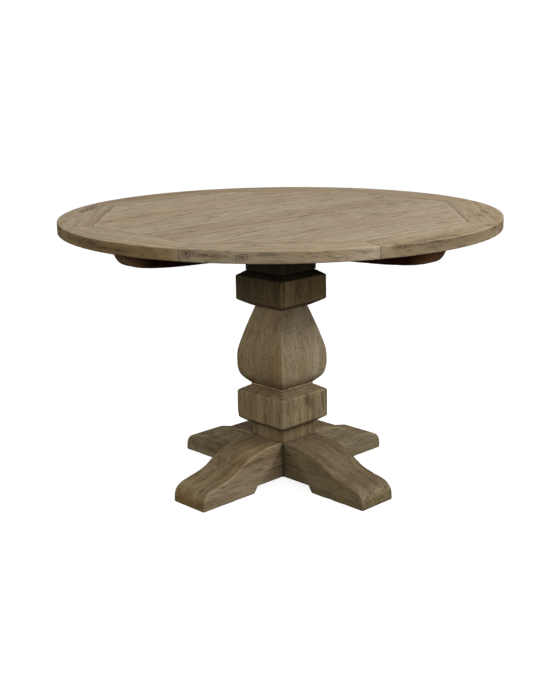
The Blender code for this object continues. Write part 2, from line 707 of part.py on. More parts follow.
def main():
    """Build the table."""
    rod_cutter = make_rod_and_cutter()
    recess_cutter, plate_screw_cutter = make_plate(rod_cutter)
    make_flange_nut("tie_nut_lower", ARCH_HEIGHT - GAP, -1, rod_cutter)
    make_flange_nut("tie_nut_upper", NUT_RECESS_FLOOR + GAP, 1, rod_cutter)
    make_top()
    make_bearers(rod_cutter)
    make_column(rod_cutter, recess_cutter)
    make_feet(recess_cutter, plate_screw_cutter)
    make_screws("top_screw", TOP_SCREW_LENGTH, TOP_SCREW_BOTTOM, top_screw_spots())
    make_screws("plate_screw", PLATE_SCREW_LENGTH, ARCH_HEIGHT - SCREW_HEAD_HEIGHT - GAP, plate_screw_spots())


clear_scene()
PARTS = new_collection(OBJECT_NAME)
CUTTERS = new_collection("cutters")
main()
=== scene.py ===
"""Looks of a round pedestal dining table in weathered oak.

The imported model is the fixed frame. Each visible board is built again here with softened, worn edges and a
grain of its own, and the hidden pieces and the metal keep their shape and get a finish.

Units are metres. The boards of the field run along X, and the bearers and the feet along X and Y.
"""

import logging
import math
from collections.abc import Callable, Sequence
from dataclasses import dataclass, replace
from enum import Enum

import bmesh
import bpy
import numpy as np
from bmesh.types import BMesh
from mathutils import Matrix, Vector, noise


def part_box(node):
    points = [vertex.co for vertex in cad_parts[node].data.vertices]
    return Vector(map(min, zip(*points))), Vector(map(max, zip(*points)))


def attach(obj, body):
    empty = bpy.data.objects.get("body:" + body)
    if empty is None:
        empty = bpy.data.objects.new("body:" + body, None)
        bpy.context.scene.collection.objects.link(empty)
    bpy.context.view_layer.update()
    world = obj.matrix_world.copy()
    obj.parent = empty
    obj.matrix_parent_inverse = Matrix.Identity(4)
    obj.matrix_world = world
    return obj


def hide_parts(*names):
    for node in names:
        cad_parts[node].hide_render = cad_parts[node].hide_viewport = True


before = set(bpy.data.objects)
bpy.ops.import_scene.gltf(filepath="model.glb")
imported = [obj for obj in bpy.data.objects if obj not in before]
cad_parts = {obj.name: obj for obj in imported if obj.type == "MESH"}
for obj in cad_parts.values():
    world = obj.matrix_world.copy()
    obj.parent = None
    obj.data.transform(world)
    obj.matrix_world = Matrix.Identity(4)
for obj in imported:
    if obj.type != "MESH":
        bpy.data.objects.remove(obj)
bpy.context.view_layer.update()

LOG = logging.getLogger("round_pedestal_table")

MM = 0.001
BODY = "root"
WELD = 0.01 * MM
FLUSH = 20 * WELD
CRISP = 38.0
QUARTER = math.pi / 2
AXES = ((1, 0, 0), (0, 1, 0), (0, 0, 1))

Colour = tuple[float, float, float]
Point = tuple[float, float, float]
Outline = Sequence[tuple[float, float]]
Plane = tuple[Vector, Vector]
# A function that gives the darkening at a place from the place and its normal: dirt in the top's joints, and
# painted shade elsewhere.
DirtAndShade = Callable[[Vector, Vector], float]
WHITE: Colour = (1.0, 1.0, 1.0)
KNOT_TINT: Colour = (0.42, 0.33, 0.20)


# ---------------------------------------------------------------- shader graphs


class Sock:
    """A shader socket that takes part in arithmetic; each operation adds a Math node."""

    def __init__(self, graph: "Graph", socket: bpy.types.NodeSocket) -> None:
        """Wrap a socket.

        Args:
            graph: The graph that the socket's node is in.
            socket: The output to wrap.
        """
        self.graph = graph
        self.socket = socket

    def _math(self, operation: str, first: object, second: object) -> "Sock":
        """Return a Math node of two values."""
        return self.graph.node("ShaderNodeMath", {"operation": operation}, {0: first, 1: second})

    def __add__(self, other: object) -> "Sock":
        """Return self + other."""
        return self._math("ADD", self, other)

    def __sub__(self, other: object) -> "Sock":
        """Return self - other."""
        return self._math("SUBTRACT", self, other)

    def __rsub__(self, other: object) -> "Sock":
        """Return other - self."""
        return self._math("SUBTRACT", other, self)

    def __mul__(self, other: object) -> "Sock":
        """Return self * other."""
        return self._math("MULTIPLY", self, other)

    def __truediv__(self, other: object) -> "Sock":
        """Return self / other."""
        return self._math("DIVIDE", self, other)

    def __pow__(self, other: object) -> "Sock":
        """Return self ** other."""
        return self._math("POWER", self, other)

    __radd__ = __add__
    __rmul__ = __mul__

    def fraction(self) -> "Sock":
        """Return the part after the decimal point."""
        return self._math("FRACT", self, 0.0)

    def clamp(self) -> "Sock":
        """Return the value kept between 0 and 1."""
        return self.graph.node("ShaderNodeClamp", {}, {"Value": self})

    def step(self, low: float, high: float, start: float = 0.0, end: float = 1.0) -> "Sock":
        """Return a smooth step.

        Args:
            low: The value where the step starts.
            high: The value where it ends.
            start: What the step gives below low.
            end: What the step gives above high.

        Returns:
            The stepped value.
        """
        values = {"Value": self, "From Min": low, "From Max": high, "To Min": start, "To Max": end}
        return self.graph.node("ShaderNodeMapRange", {"interpolation_type": "SMOOTHSTEP"}, values)


class Graph:
    """The node tree of a material or a world, with short ways to add to it."""

    def __init__(self, owner: bpy.types.Material | bpy.types.World) -> None:
        """Switch the owner's nodes on.

        Args:
            owner: The material or the world.
        """
        owner.use_nodes = True
        self.owner = owner
        self.tree = owner.node_tree

    @classmethod
    def of_material(cls, name: str) -> "Graph":
        """Return the graph of a new material with one Principled shader."""
        return cls(bpy.data.materials.new(name))

    def set(self, **values: object) -> None:
        """Set or link inputs of the Principled shader, whose names are given with _ for a space."""
        for key, value in values.items():
            self.fill(self.tree.nodes["Principled BSDF"].inputs[key.replace("_", " ")], value)

    def fill(self, socket: bpy.types.NodeSocket, value: object) -> None:
        """Link a wrapped socket to an input, or set a plain value on it.

        Args:
            socket: The input.
            value: The wrapped output that is linked to it, or the plain value that it takes.
        """
        if isinstance(value, Sock):
            self.tree.links.new(value.socket, socket)
        else:
            socket.default_value = value

    def node(self, kind: str, settings: dict, inputs: dict, output: int | str = 0) -> Sock:
        """Add a node.

        Args:
            kind: The node's type.
            settings: Its properties, and under "stops" a ramp's (position, grey level) pairs.
            inputs: Values or links for its sockets, by name or number.
            output: The socket to give back.

        Returns:
            The chosen output.
        """
        made = self.tree.nodes.new(kind)
        for key, value in settings.items():
            if key == "stops":
                self.set_stops(made.color_ramp, value)
            else:
                setattr(made, key, value)
        for key, value in inputs.items():
            self.fill(made.inputs[key], value)
        return Sock(self, made.outputs[output])

    @staticmethod
    def set_stops(ramp: bpy.types.ColorRamp, stops: Sequence[tuple[float, float]]) -> None:
        """Give a ramp its stops, each a position and a grey level.

        Args:
            ramp: The node's ramp.
            stops: Its stops in order, each a position and a grey level.
        """
        while len(ramp.elements) < len(stops):
            ramp.elements.new(0.5)
        for element, (place, level) in zip(ramp.elements, stops):
            element.position = place
            element.color = (level, level, level, 1.0)

    def noise(self, place: Sock, scale: Point, detail: float, seed: float, rough: float = 0.55) -> Sock:
        """Return fractal noise with its own scale along each axis.

        Args:
            place: The coordinates.
            scale: Repeats to the metre along each axis.
            detail: How many finer layers are added.
            seed: Moves the pattern, so that no two boards share it.
            rough: How strong the finer layers are.

        Returns:
            Values about 0.5.
        """
        offset = (seed * 7.3, seed * 3.1, seed * 5.7)
        settings = {"operation": "MULTIPLY_ADD"}
        moved = self.node("ShaderNodeVectorMath", settings, {0: place, 1: scale, 2: offset})
        values = {"Vector": moved, "Scale": 1.0, "Detail": detail, "Roughness": rough}
        return self.node("ShaderNodeTexNoise", {}, values)

    def mix(self, amount: object, first: object, second: object, blend: str = "MIX") -> Sock:
        """Return a mix of two colours.

        Args:
            amount: The share of the second, from 0 to 1.
            first: A colour or a link.
            second: A colour or a link.
            blend: How they are mixed.

        Returns:
            The mixed colour.
        """
        settings = {"data_type": "RGBA", "blend_type": blend}
        colours = [value if isinstance(value, Sock) else (*value, 1.0) for value in (first, second)]
        return self.node("ShaderNodeMix", settings, {0: amount, 6: colours[0], 7: colours[1]}, 2)

    def attribute(self, name: str) -> Sock:
        """Return a number that the mesh holds at its corners."""
        return self.node("ShaderNodeAttribute", {"attribute_name": name}, {}, "Fac")

    def finish(self, colour: Sock, roughness: Sock, height: Sock, depth: float) -> bpy.types.Material:
        """Join the shader up.

        Args:
            colour: The base colour.
            roughness: The roughness.
            height: The relief, from 0 to 1.
            depth: The relief's depth in metres.

        Returns:
            The material.
        """
        relief = self.node("ShaderNodeBump", {}, {"Strength": 1.0, "Distance": depth, "Height": height})
        self.set(Base_Color=colour, Roughness=roughness, Normal=relief)
        return self.owner


# ---------------------------------------------------------------- wood


class Grain(Enum):
    """The way a board's grain runs, as the turn of its own axes."""

    ALONG_X = (0.0, 0.0, 0.0)
    ALONG_Y = (0.0, 0.0, QUARTER)
    UPRIGHT = (0.0, -QUARTER, 0.0)
    UPRIGHT_TURNED = (QUARTER, -QUARTER, 0.0)


class Figure(Enum):
    """The layers of a wood's figure.

    Each has its repeats to the metre along and across the grain, its detail, its step from the board's
    seed, and how strong its finer layers are.
    """

    STREAK = (1.7, 48.0, 4, 0, 0.55)
    FINE = (6.0, 120.0, 4, 1, 0.7)
    FIBRE = (16.0, 620.0, 2, 2, 0.55)
    PORE = (24.0, 430.0, 1, 3, 0.55)
    DASH = (13.0, 95.0, 2, 4, 0.7)
    TONE = (1.3, 10.0, 3, 5, 0.55)
    BLOTCH = (14.0, 26.0, 4, 6, 0.55)
    STRETCH = (2.2, 2.2, 1, 7, 0.55)
    WANDER = (1.5, 4.0, 3, 8, 0.55)
    RIPPLE = (9.0, 24.0, 2, 9, 0.55)
    SPECK = (110.0, 190.0, 3, 10, 0.7)

    def draw(self, graph: Graph, place: Sock, seed: float) -> Sock:
        """Return this layer on a board.

        Args:
            graph: The material's graph.
            place: The board's own coordinates.
            seed: The board's seed.

        Returns:
            Values about 0.5.
        """
        along, across, detail, step, rough = self.value
        return graph.noise(place, (along, across, across), detail, seed + step, rough)


@dataclass(frozen=True)
class Knot:
    """A knot in a board.

    Attributes:
        centre: Its place on the board's own axes.
        size: Its reach along each of them.
        darkness: How dark its heart is, from 0 to 1.
    """

    centre: Point
    size: Point
    darkness: float = 0.75


@dataclass(frozen=True)
class Shade:
    """How light a board is beside its finish: its tone, and painted light and shade on its upright sides by
    the way they face.

    Attributes:
        tone: What its whole colour is multiplied by: the board's own tone, and on the column pieces and the
            feet painted light and shade as well.
        painted_light_x: Painted light and shade: what the colour of its upright sides that face along X is
            multiplied by besides.
        painted_light_y: The same painted light and shade for those that face along Y.
    """

    tone: float = 1.0
    painted_light_x: Colour = WHITE
    painted_light_y: Colour = WHITE


@dataclass(frozen=True)
class Board:
    """How one board was cut from the log.

    Attributes:
        centre: The board's middle.
        turn: The turn of its own axes, whose first follows the grain.
        seed: Sets its grain apart from the others'.
        shade: Its lightness beside the finish's own: its tone, and its painted light and shade.
        warmth: How much of the brown stain it took, from 0 to 1.
        pith: Where the log's heart lies across and under the board.
        tilt: How fast the heart wanders across and under it along the grain.
        knots: Its knots.
    """

    centre: Point
    turn: Point
    seed: float
    shade: Shade = Shade()
    warmth: float = 0.3
    pith: tuple[float, float] = (0.02, -0.09)
    tilt: tuple[float, float] = (0.03, 0.02)
    knots: tuple[Knot, ...] = ()


@dataclass(frozen=True)
class WoodFinish:
    """A wood surface: its colours, and how strongly each mark shows.

    Attributes:
        name: The finish's name.
        slot: The record's material slot.
        pale: The early wood.
        dark: The late wood.
        stain: The brown left in warm patches.
        wash: The grey of weathered fibres.
        worn: The wood bared along worn edges.
        rings: The distance between rings.
        ring_depth: How strongly the rings show.
        streak_depth: How strongly the long streaks show.
        fine_depth: How strongly the fine streaks show.
        pore_depth: How dark the pores are.
        speck_depth: How dark the short specks between them are.
        blotch_depth: How strongly short patches show.
        wash_depth: How much grey lies over the wood.
        wear: How much of the edges is bared.
        roughness: The roughness between the pores.
        relief: The depth of the brushed grain.
        shine: The specular level.
    """

    name: str
    slot: str
    pale: Colour
    dark: Colour
    stain: Colour
    wash: Colour
    worn: Colour
    rings: float = 5 * MM
    ring_depth: float = 0.35
    streak_depth: float = 0.9
    fine_depth: float = 1.2
    pore_depth: float = 0.35
    speck_depth: float = 0.12
    blotch_depth: float = 0.15
    wash_depth: float = 0.35
    wear: float = 0.6
    roughness: float = 0.62
    relief: float = 0.5 * MM
    shine: float = 0.5

    def material(self, name: str, board: Board) -> bpy.types.Material:
        """Return this finish on one board.

        Args:
            name: The piece's name.
            board: How the board was cut.

        Returns:
            A material with the board's own grain.
        """
        graph = Graph.of_material(f"{self.name}_{name}")
        where = graph.node("ShaderNodeTexCoord", {}, {}, "Object")
        turned = {"Vector": where, "Location": board.centre, "Rotation": board.turn}
        place = graph.node("ShaderNodeMapping", {"vector_type": "TEXTURE"}, turned)
        late = self.ring_mask(graph, place, board)
        streak = Figure.STREAK.draw(graph, place, board.seed)
        fine = Figure.FINE.draw(graph, place, board.seed)
        fibre = Figure.FIBRE.draw(graph, place, board.seed)
        pores = Figure.PORE.draw(graph, place, board.seed).step(0.60, 0.72)
        dashes = Figure.DASH.draw(graph, place, board.seed).step(0.57, 0.67)
        specks = Figure.SPECK.draw(graph, place, board.seed).step(0.54, 0.66)
        tone = Figure.TONE.draw(graph, place, board.seed)
        blotch = Figure.BLOTCH.draw(graph, place, board.seed)
        wear = graph.attribute("wear")
        dirt_and_shade = graph.attribute("dirt_and_shade")

        darker = late * self.ring_depth + (streak - 0.5) * self.streak_depth * 2.2
        darker = darker + (fine - 0.5) * self.fine_depth + 0.38
        colour = graph.mix(darker.clamp(), self.pale, self.dark)
        warm = (tone.step(0.40, 0.66) * 0.75 + board.warmth - 0.3).clamp()
        colour = graph.mix(warm, colour, graph.mix(1.0, colour, self.stain, "MULTIPLY"))
        grey = (fibre.step(0.42, 0.62) * 0.5 + streak.step(0.62, 0.38) * 0.5) * self.wash_depth
        colour = graph.mix(grey.clamp(), colour, self.wash)
        patch = (blotch.step(0.35, 0.68) * self.blotch_depth).clamp()
        colour = graph.mix(patch, colour, self.dark)
        colour = graph.mix(specks * self.speck_depth, colour, self.darker(0.6))
        holes = (pores * 0.7 + dashes).clamp() * self.pore_depth
        colour = graph.mix(holes, colour, self.darker(0.35))
        for knot in board.knots:
            colour = self.draw_knot(graph, place, knot, colour, board.seed)
        # Pale bared wood along worn edges, in runs; along the field's seams it also stands in as painted
        # highlight on the seams' rounded edges.
        wear_and_highlight_runs = Figure.STRETCH.draw(graph, place, board.seed).step(0.50, 0.60, 0.12, 1.0)
        bared_and_highlight = (wear * wear_and_highlight_runs * (0.55 + fine) * self.wear).clamp()
        colour = graph.mix(bared_and_highlight, colour, self.worn)
        # Darkened where the mesh says: dirt in the top's joints, and painted shade on the bearers, the upper
        # block's shoulder, down the crack and in the feet's corners.
        colour = graph.mix((dirt_and_shade * (0.6 + 0.8 * blotch)).clamp(), colour, self.darker(0.22))
        # Painted light and shade: the tone, and the upright sides made lighter or darker by the way they
        # face.
        colour = graph.mix(1.0, colour, self.painted_side_light(graph, board.shade), "MULTIPLY")
        height = fibre * 0.35 + fine * 0.45 + late * 0.25 - pores * 0.45 - dashes * 0.5 + 0.3
        gloss = fine * 0.16 + holes * 0.3 + (self.roughness - 0.08)
        graph.set(Specular_IOR_Level=self.shine)
        return graph.finish(colour, gloss, height, self.relief)

    def darker(self, share: float) -> Colour:
        """Return a share of the late wood's colour."""
        return tuple(part * share for part in self.dark)

    def ring_mask(self, graph: Graph, place: Sock, board: Board) -> Sock:
        """Return where the late wood of each ring lies.

        Args:
            graph: The material's graph.
            place: The board's own coordinates.
            board: How the board was cut.

        Returns:
            0 in early wood, rising to 1 in late wood.
        """
        parts = graph.node("ShaderNodeSeparateXYZ", {}, {0: place})
        along, across, under = (Sock(graph, socket) for socket in parts.socket.node.outputs)
        wander = Figure.WANDER.draw(graph, place, board.seed) - 0.5
        ripple = Figure.RIPPLE.draw(graph, place, board.seed) - 0.5
        across = across + along * board.tilt[0] + wander * 50 * MM + board.pith[0]
        under = under + along * board.tilt[1] + wander * 30 * MM + board.pith[1]
        radius = (across * across + under * under) ** 0.5 + ripple * 4 * MM
        for knot in board.knots:
            near = self.knot_distance(graph, place, knot).step(0.0, 3.2, 1.0, 0.0)
            radius = radius + near * knot.size[1] * 1.5
        phase = (radius / self.rings).fraction()
        stops = ((0.0, 0.25), (0.10, 0.0), (0.55, 0.30), (0.88, 1.0), (1.0, 0.25))
        return graph.node("ShaderNodeValToRGB", {"stops": stops}, {0: phase})

    @staticmethod
    def knot_distance(graph: Graph, place: Sock, knot: Knot) -> Sock:
        """Return the distance from a knot's heart, where 1 is its rim.

        Args:
            graph: The material's graph.
            place: The board's own coordinates.
            knot: The knot.

        Returns:
            The distance.
        """
        off = graph.node("ShaderNodeVectorMath", {"operation": "SUBTRACT"}, {0: place, 1: knot.centre})
        share = graph.node("ShaderNodeVectorMath", {"operation": "DIVIDE"}, {0: off, 1: knot.size})
        return graph.node("ShaderNodeVectorMath", {"operation": "LENGTH"}, {0: share}, "Value")

    def draw_knot(self, graph: Graph, place: Sock, knot: Knot, colour: Sock,
                  seed: float) -> Sock:
        """Return the colour with a knot drawn into it.

        Args:
            graph: The material's graph.
            place: The board's own coordinates.
            knot: The knot.
            colour: The colour without it.
            seed: The board's seed.

        Returns:
            The colour with a dark heart, a ring round it and a soft halo.
        """
        ragged = graph.noise(place, (70, 200, 200), 3, seed + knot.centre[0], 0.7) - 0.5
        distance = self.knot_distance(graph, place, knot) + ragged * 1.8
        heart = distance.step(0.20, 0.70, 1.0, 0.0) * knot.darkness
        ring = distance.step(0.70, 0.95) * distance.step(0.95, 1.3, 1.0, 0.0) * knot.darkness * 0.7
        halo = distance.step(0.6, 2.2, 1.0, 0.0) * 0.15
        shade = (heart + ring + halo).clamp()
        return graph.mix(shade, colour, tuple(part * share for part, share in zip(self.dark, KNOT_TINT)))

    @staticmethod
    def painted_side_light(graph: Graph, shade: Shade) -> Sock:
        """Return the painted light and shade that the colour is multiplied by: the tone on flat faces, and
        more on upright sides by the way they face.

        Args:
            graph: The material's graph.
            shade: The board's tone and painted light and shade.

        Returns:
            The colour to multiply by.
        """
        normal = graph.node("ShaderNodeNewGeometry", {}, {}, "Normal")
        parts = graph.node("ShaderNodeSeparateXYZ", {}, {0: normal})
        x, y, z = (Sock(graph, socket) for socket in parts.socket.node.outputs)
        sides = [tuple(shade.tone * part for part in side) for side in (shade.painted_light_x, shade.painted_light_y)]
        side = graph.mix(y * y / (x * x + y * y), *sides)
        return graph.mix((z * z).step(0.25, 0.75), side, (shade.tone,) * 3)


@dataclass(frozen=True)
class MetalFinish:
    """A metal surface.

    Attributes:
        name: The finish's name.
        slot: The record's material slot.
        bright: The metal where it is clean.
        dull: The metal where it is dull.
        roughness: The roughness where it is clean.
    """

    name: str
    slot: str
    bright: Colour
    dull: Colour
    roughness: float

    def material(self, name: str) -> bpy.types.Material:
        """Return this finish.

        Args:
            name: The piece's name.

        Returns:
            A metal with dull patches and fine scratches.
        """
        graph = Graph.of_material(f"{self.name}_{name}")
        place = graph.node("ShaderNodeTexCoord", {}, {}, "Object")
        cloud = graph.noise(place, (70, 70, 70), 4, 1.0)
        scratch = graph.noise(place, (40, 1400, 1400), 2, 2.0)
        colour = graph.mix(cloud.step(0.35, 0.7), self.bright, self.dull)
        gloss = cloud * 0.25 + scratch * 0.15 + (self.roughness - 0.15)
        graph.set(Metallic=1.0)
        return graph.finish(colour, gloss, scratch * 0.5 + cloud * 0.5, 0.05 * MM)


OAK_FIELD = WoodFinish("weathered_oak_field", "weathered_oak_field",
                       pale=(0.43, 0.355, 0.255), dark=(0.255, 0.187, 0.117), stain=(0.92, 0.82, 0.70),
                       wash=(0.40, 0.345, 0.268), worn=(0.50, 0.42, 0.31), ring_depth=0.22,
                       streak_depth=0.6, fine_depth=1.9, pore_depth=0.75, wear=0.5)
OAK_RIM = WoodFinish("weathered_oak_rim", "weathered_oak_rim",
                     pale=(0.41, 0.335, 0.232), dark=(0.235, 0.170, 0.100), stain=(0.90, 0.78, 0.64),
                     wash=(0.385, 0.33, 0.252), worn=(0.45, 0.375, 0.27), ring_depth=0.28,
                     streak_depth=0.65, fine_depth=1.8, pore_depth=0.5, wear=0.25)
OAK_BASE = WoodFinish("weathered_oak_base", "weathered_oak_base",
                      pale=(0.275, 0.206, 0.108), dark=(0.115, 0.076, 0.031), stain=(0.86, 0.72, 0.50),
                      wash=(0.26, 0.203, 0.120), worn=(0.33, 0.26, 0.15), ring_depth=0.45, fine_depth=1.5,
                      pore_depth=0.55, speck_depth=0.5, blotch_depth=0.3, wear=0.10, roughness=0.64,
                      relief=0.8 * MM)
OAK_VASE = replace(OAK_BASE, ring_depth=0.25, streak_depth=0.45, fine_depth=0.9, pore_depth=0.35,
                   speck_depth=0.7, blotch_depth=0.45)
OAK_BEARERS = WoodFinish("weathered_oak_bearers", "weathered_oak_bearers",
                         pale=(0.30, 0.205, 0.105), dark=(0.17, 0.045, 0.018), stain=(0.85, 0.62, 0.45),
                         wash=(0.24, 0.160, 0.080), worn=(0.32, 0.24, 0.14), shine=0.1)
HARDWOOD = WoodFinish("plain_hardwood", "plain_hardwood",
                      pale=(0.52, 0.38, 0.23), dark=(0.40, 0.27, 0.15), stain=(0.95, 0.88, 0.8),
                      wash=(0.5, 0.4, 0.28), worn=(0.5, 0.4, 0.28), wash_depth=0.1, blotch_depth=0.05)
ZINC = MetalFinish("zinc_plated_steel", "zinc_plated_steel", bright=(0.62, 0.62, 0.60),
                   dull=(0.40, 0.40, 0.38), roughness=0.36)
BLACK_STEEL = MetalFinish("black_steel", "black_steel", bright=(0.075, 0.073, 0.07),
                          dull=(0.04, 0.038, 0.036), roughness=0.5)


# ---------------------------------------------------------------- shaping


def cuboid(low: Sequence[float], high: Sequence[float]) -> BMesh:
    """Return a box between two corners.

    Args:
        low: Its lowest corner.
        high: Its highest corner.

    Returns:
        The box.
    """
    low, high = Vector(low), Vector(high)
    bm = bmesh.new()
    place = Matrix.Translation((low + high) / 2) @ Matrix.Diagonal((*(high - low), 1.0))
    bmesh.ops.create_cube(bm, size=1.0, matrix=place)
    return bm


def split(bm: BMesh, point: Sequence[float], normal: Sequence[float], drop: bool = False) -> None:
    """Cut the mesh along a plane.

    Args:
        bm: The mesh.
        point: A point of the plane.
        normal: The plane's direction.
        drop: Whether what lies beyond the plane is cut away and the cut closed.
    """
    geometry = bm.verts[:] + bm.edges[:] + bm.faces[:]
    cut = bmesh.ops.bisect_plane(bm, geom=geometry, dist=WELD, plane_co=point, plane_no=normal,
                                 clear_outer=drop)
    if drop:
        edges = [item for item in cut["geom_cut"] if isinstance(item, bmesh.types.BMEdge)]
        bmesh.ops.holes_fill(bm, edges=edges)


def split_evenly(bm: BMesh, direction: Sequence[float], cell: float) -> None:
    """Cut the mesh along evenly spaced planes.

    Args:
        bm: The mesh.
        direction: The planes' common direction, of length 1.
        cell: The distance between them.
    """
    way = Vector(direction)
    reach = [vert.co.dot(way) for vert in bm.verts]
    low, high = min(reach), max(reach)
    count = max(1, round((high - low) / cell))
    for index in range(1, count):
        split(bm, way * (low + (high - low) * index / count), way)


def divide(bm: BMesh, cell: float) -> None:
    """Cut the mesh into cells along the three axes."""
    for way in AXES:
        split_evenly(bm, way, cell)


def slab(outline: Outline, half: float, turn: float) -> BMesh:
    """Return an upright board sawn to an outline.

    Args:
        outline: Its (along, up) points.
        half: Half its thickness.
        turn: Its turn about the vertical axis; at 0 it runs along X.

    Returns:
        The board.
    """
    bm = bmesh.new()
    face = bm.faces.new([bm.verts.new((along, -half, up)) for along, up in outline])
    grown = bmesh.ops.extrude_face_region(bm, geom=[face], use_keep_orig=True)
    verts = [item for item in grown["geom"] if isinstance(item, bmesh.types.BMVert)]
    bmesh.ops.translate(bm, verts=verts, vec=(0.0, 2 * half, 0.0))
    bmesh.ops.rotate(bm, verts=bm.verts[:], cent=(0, 0, 0), matrix=Matrix.Rotation(turn, 3, "Z"))
    bmesh.ops.recalc_face_normals(bm, faces=bm.faces[:])
    return bm


def square_turning(profile: Outline) -> BMesh:
    """Return a square piece whose four sides follow a profile of (half side, height), top to bottom.

    Args:
        profile: The (half side, height) points, top to bottom.

    Returns:
        The piece.
    """
    heights = [height for _, height in profile]
    bm = cuboid((-1.0, -1.0, heights[-1]), (1.0, 1.0, heights[0]))
    for height in heights[1:-1]:
        split(bm, (0, 0, height), (0, 0, 1))
    for half, height in profile:
        level = [vert for vert in bm.verts if abs(vert.co.z - height) < WELD]
        bmesh.ops.scale(bm, vec=(half, half, 1.0), verts=level)
    return bm


def smooth_curve(points: Outline, pieces: int) -> list[tuple[float, float]]:
    """Return points on a Catmull-Rom curve.

    Args:
        points: The points that it passes through.
        pieces: How many steps lie between two of them.

    Returns:
        The curve's points.
    """
    padded = [points[0], *points, points[-1]]
    curve = []
    for before, start, end, after in zip(padded, padded[1:], padded[2:], padded[3:]):
        for piece in range(pieces):
            t = piece / pieces
            curve.append(tuple(
                0.5 * (2 * p1 + (p2 - p0) * t + (2 * p0 - 5 * p1 + 4 * p2 - p3) * t ** 2
                       + (3 * p1 - p0 - 3 * p2 + p3) * t ** 3)
                for p0, p1, p2, p3 in zip(before, start, end, after)))
    curve.append(points[-1])
    return curve


def sharp_edges(bm: BMesh, angle: float) -> list[bmesh.types.BMEdge]:
    """Return the edges that turn outwards by more than an angle in degrees."""
    return [edge for edge in bm.edges if edge.calc_face_angle_signed(0.0) > math.radians(angle)]


def segments_of(edges: Sequence[bmesh.types.BMEdge]) -> np.ndarray:
    """Return the ends of edges as an array of point pairs."""
    return np.array([[edge.verts[0].co[:], edge.verts[1].co[:]] for edge in edges])


def round_over(bm: BMesh, edges: Sequence[bmesh.types.BMEdge], width: float, steps: int) -> None:
    """Round edges over.

    Args:
        bm: The mesh.
        edges: The edges.
        width: The rounding's width.
        steps: The faces across it.
    """
    bmesh.ops.bevel(bm, geom=list(edges), offset=width, offset_type="OFFSET", segments=steps, profile=0.5,
                    affect="EDGES", clamp_overlap=True, material=-1)


def ease(bm: BMesh, angle: float, width: float, steps: int) -> np.ndarray:
    """Round over every edge that turns outwards by more than an angle.

    Args:
        bm: The mesh.
        angle: The angle in degrees.
        width: The rounding's width.
        steps: The faces across it.

    Returns:
        The lines of the edges as they were when sharp.
    """
    edges = sharp_edges(bm, angle)
    lines = segments_of(edges)
    round_over(bm, edges, width, steps)
    return lines


def distance_to(points: np.ndarray, segments: np.ndarray) -> np.ndarray:
    """Return each point's distance from the nearest of some line segments.

    Args:
        points: The points, one a row.
        segments: The segments' ends, as segments_of gives them.

    Returns:
        The distances.
    """
    nearest = np.full(len(points), np.inf)
    for start, end in segments:
        way = end - start
        share = np.clip((points - start) @ way / max(way @ way, 1e-12), 0.0, 1.0)
        nearest = np.minimum(nearest, np.linalg.norm(points - start - share[:, None] * way, axis=1))
    return nearest


@dataclass(frozen=True)
class Weathering:
    """How the years have worn a piece.

    Attributes:
        reach: How far in from an edge the wear shows.
        dents: The depth of the dents along its edges.
        waves: The height of the hollows in its faces.
        wave_size: The distance between them.
        patches: The worn patches to the metre.
        knocks: The dents to the metre.
    """

    reach: float = 5 * MM
    dents: float = 0.6 * MM
    waves: float = 0.2 * MM
    wave_size: float = 60 * MM
    patches: float = 22.0
    knocks: float = 48.0

    def apply(self, bm: BMesh, segments: np.ndarray, seed: float, dirt_and_shade: DirtAndShade | None) -> None:
        """Wear a piece, and store where it is worn and where it is darkened by dirt and painted shade.

        Args:
            bm: The piece.
            segments: Its edges as they were when sharp.
            seed: Sets its wear apart from the others'.
            dirt_and_shade: Gives the dirt and painted shade at a place from the place and its normal.
        """
        bm.normal_update()
        wear_layer = bm.verts.layers.float.new("wear")
        dirt_and_shade_layer = bm.verts.layers.float.new("dirt_and_shade")
        points = np.array([vert.co[:] for vert in bm.verts])
        near = np.exp(-(distance_to(points, segments) / self.reach) ** 2)
        shift = Vector((seed * 1.7, seed * 2.3, seed * 0.9))
        for vert, worn in zip(bm.verts, near):
            place = vert.co.copy()
            patch = 0.5 + 0.5 * noise.noise(place * self.patches + shift)
            dent = max(0.0, noise.noise(place * self.knocks + shift)) ** 2 * 3
            hollow = 0.5 + 0.5 * noise.noise(place / self.wave_size + shift)
            vert[wear_layer] = float(worn) * (0.35 + 1.1 * patch)
            vert[dirt_and_shade_layer] = dirt_and_shade(place, vert.normal) if dirt_and_shade else 0.0
            vert.co = place - vert.normal * (float(worn) * dent * self.dents + hollow * self.waves)


def open_crack(bm: BMesh, start: Vector, end: Vector, normal: Vector, width: float, depth: float) -> None:
    """Open a drying crack in a flat side.

    Args:
        bm: The piece.
        start: The crack's first end, on the side.
        end: Its other end.
        normal: The side's direction.
        width: The crack's width.
        depth: Its depth in the middle.
    """
    along = end - start
    across = along.cross(normal).normalized()
    for offset in (-width / 2, 0.0, width / 2):
        split(bm, start + across * offset, across)
    for vert in bm.verts:
        off = vert.co - start
        share = off.dot(along) / along.length_squared
        if 0 < share < 1 and abs(off.dot(across)) < width / 4 and abs(off.dot(normal)) < FLUSH:
            vert.co -= normal * depth * math.sin(math.pi * share)


def make_object(name: str, bm: BMesh) -> bpy.types.Object:
    """Turn a mesh into an object with smooth faces, and free the mesh.

    Args:
        name: The object's name.
        bm: The mesh, which is freed.

    Returns:
        The object, in the scene.
    """
    mesh = bpy.data.meshes.new(name)
    bm.to_mesh(mesh)
    bm.free()
    mesh.shade_smooth()
    mesh.set_sharp_from_angle(angle=math.radians(CRISP))
    obj = bpy.data.objects.new(name, mesh)
    bpy.context.scene.collection.objects.link(obj)
    return obj


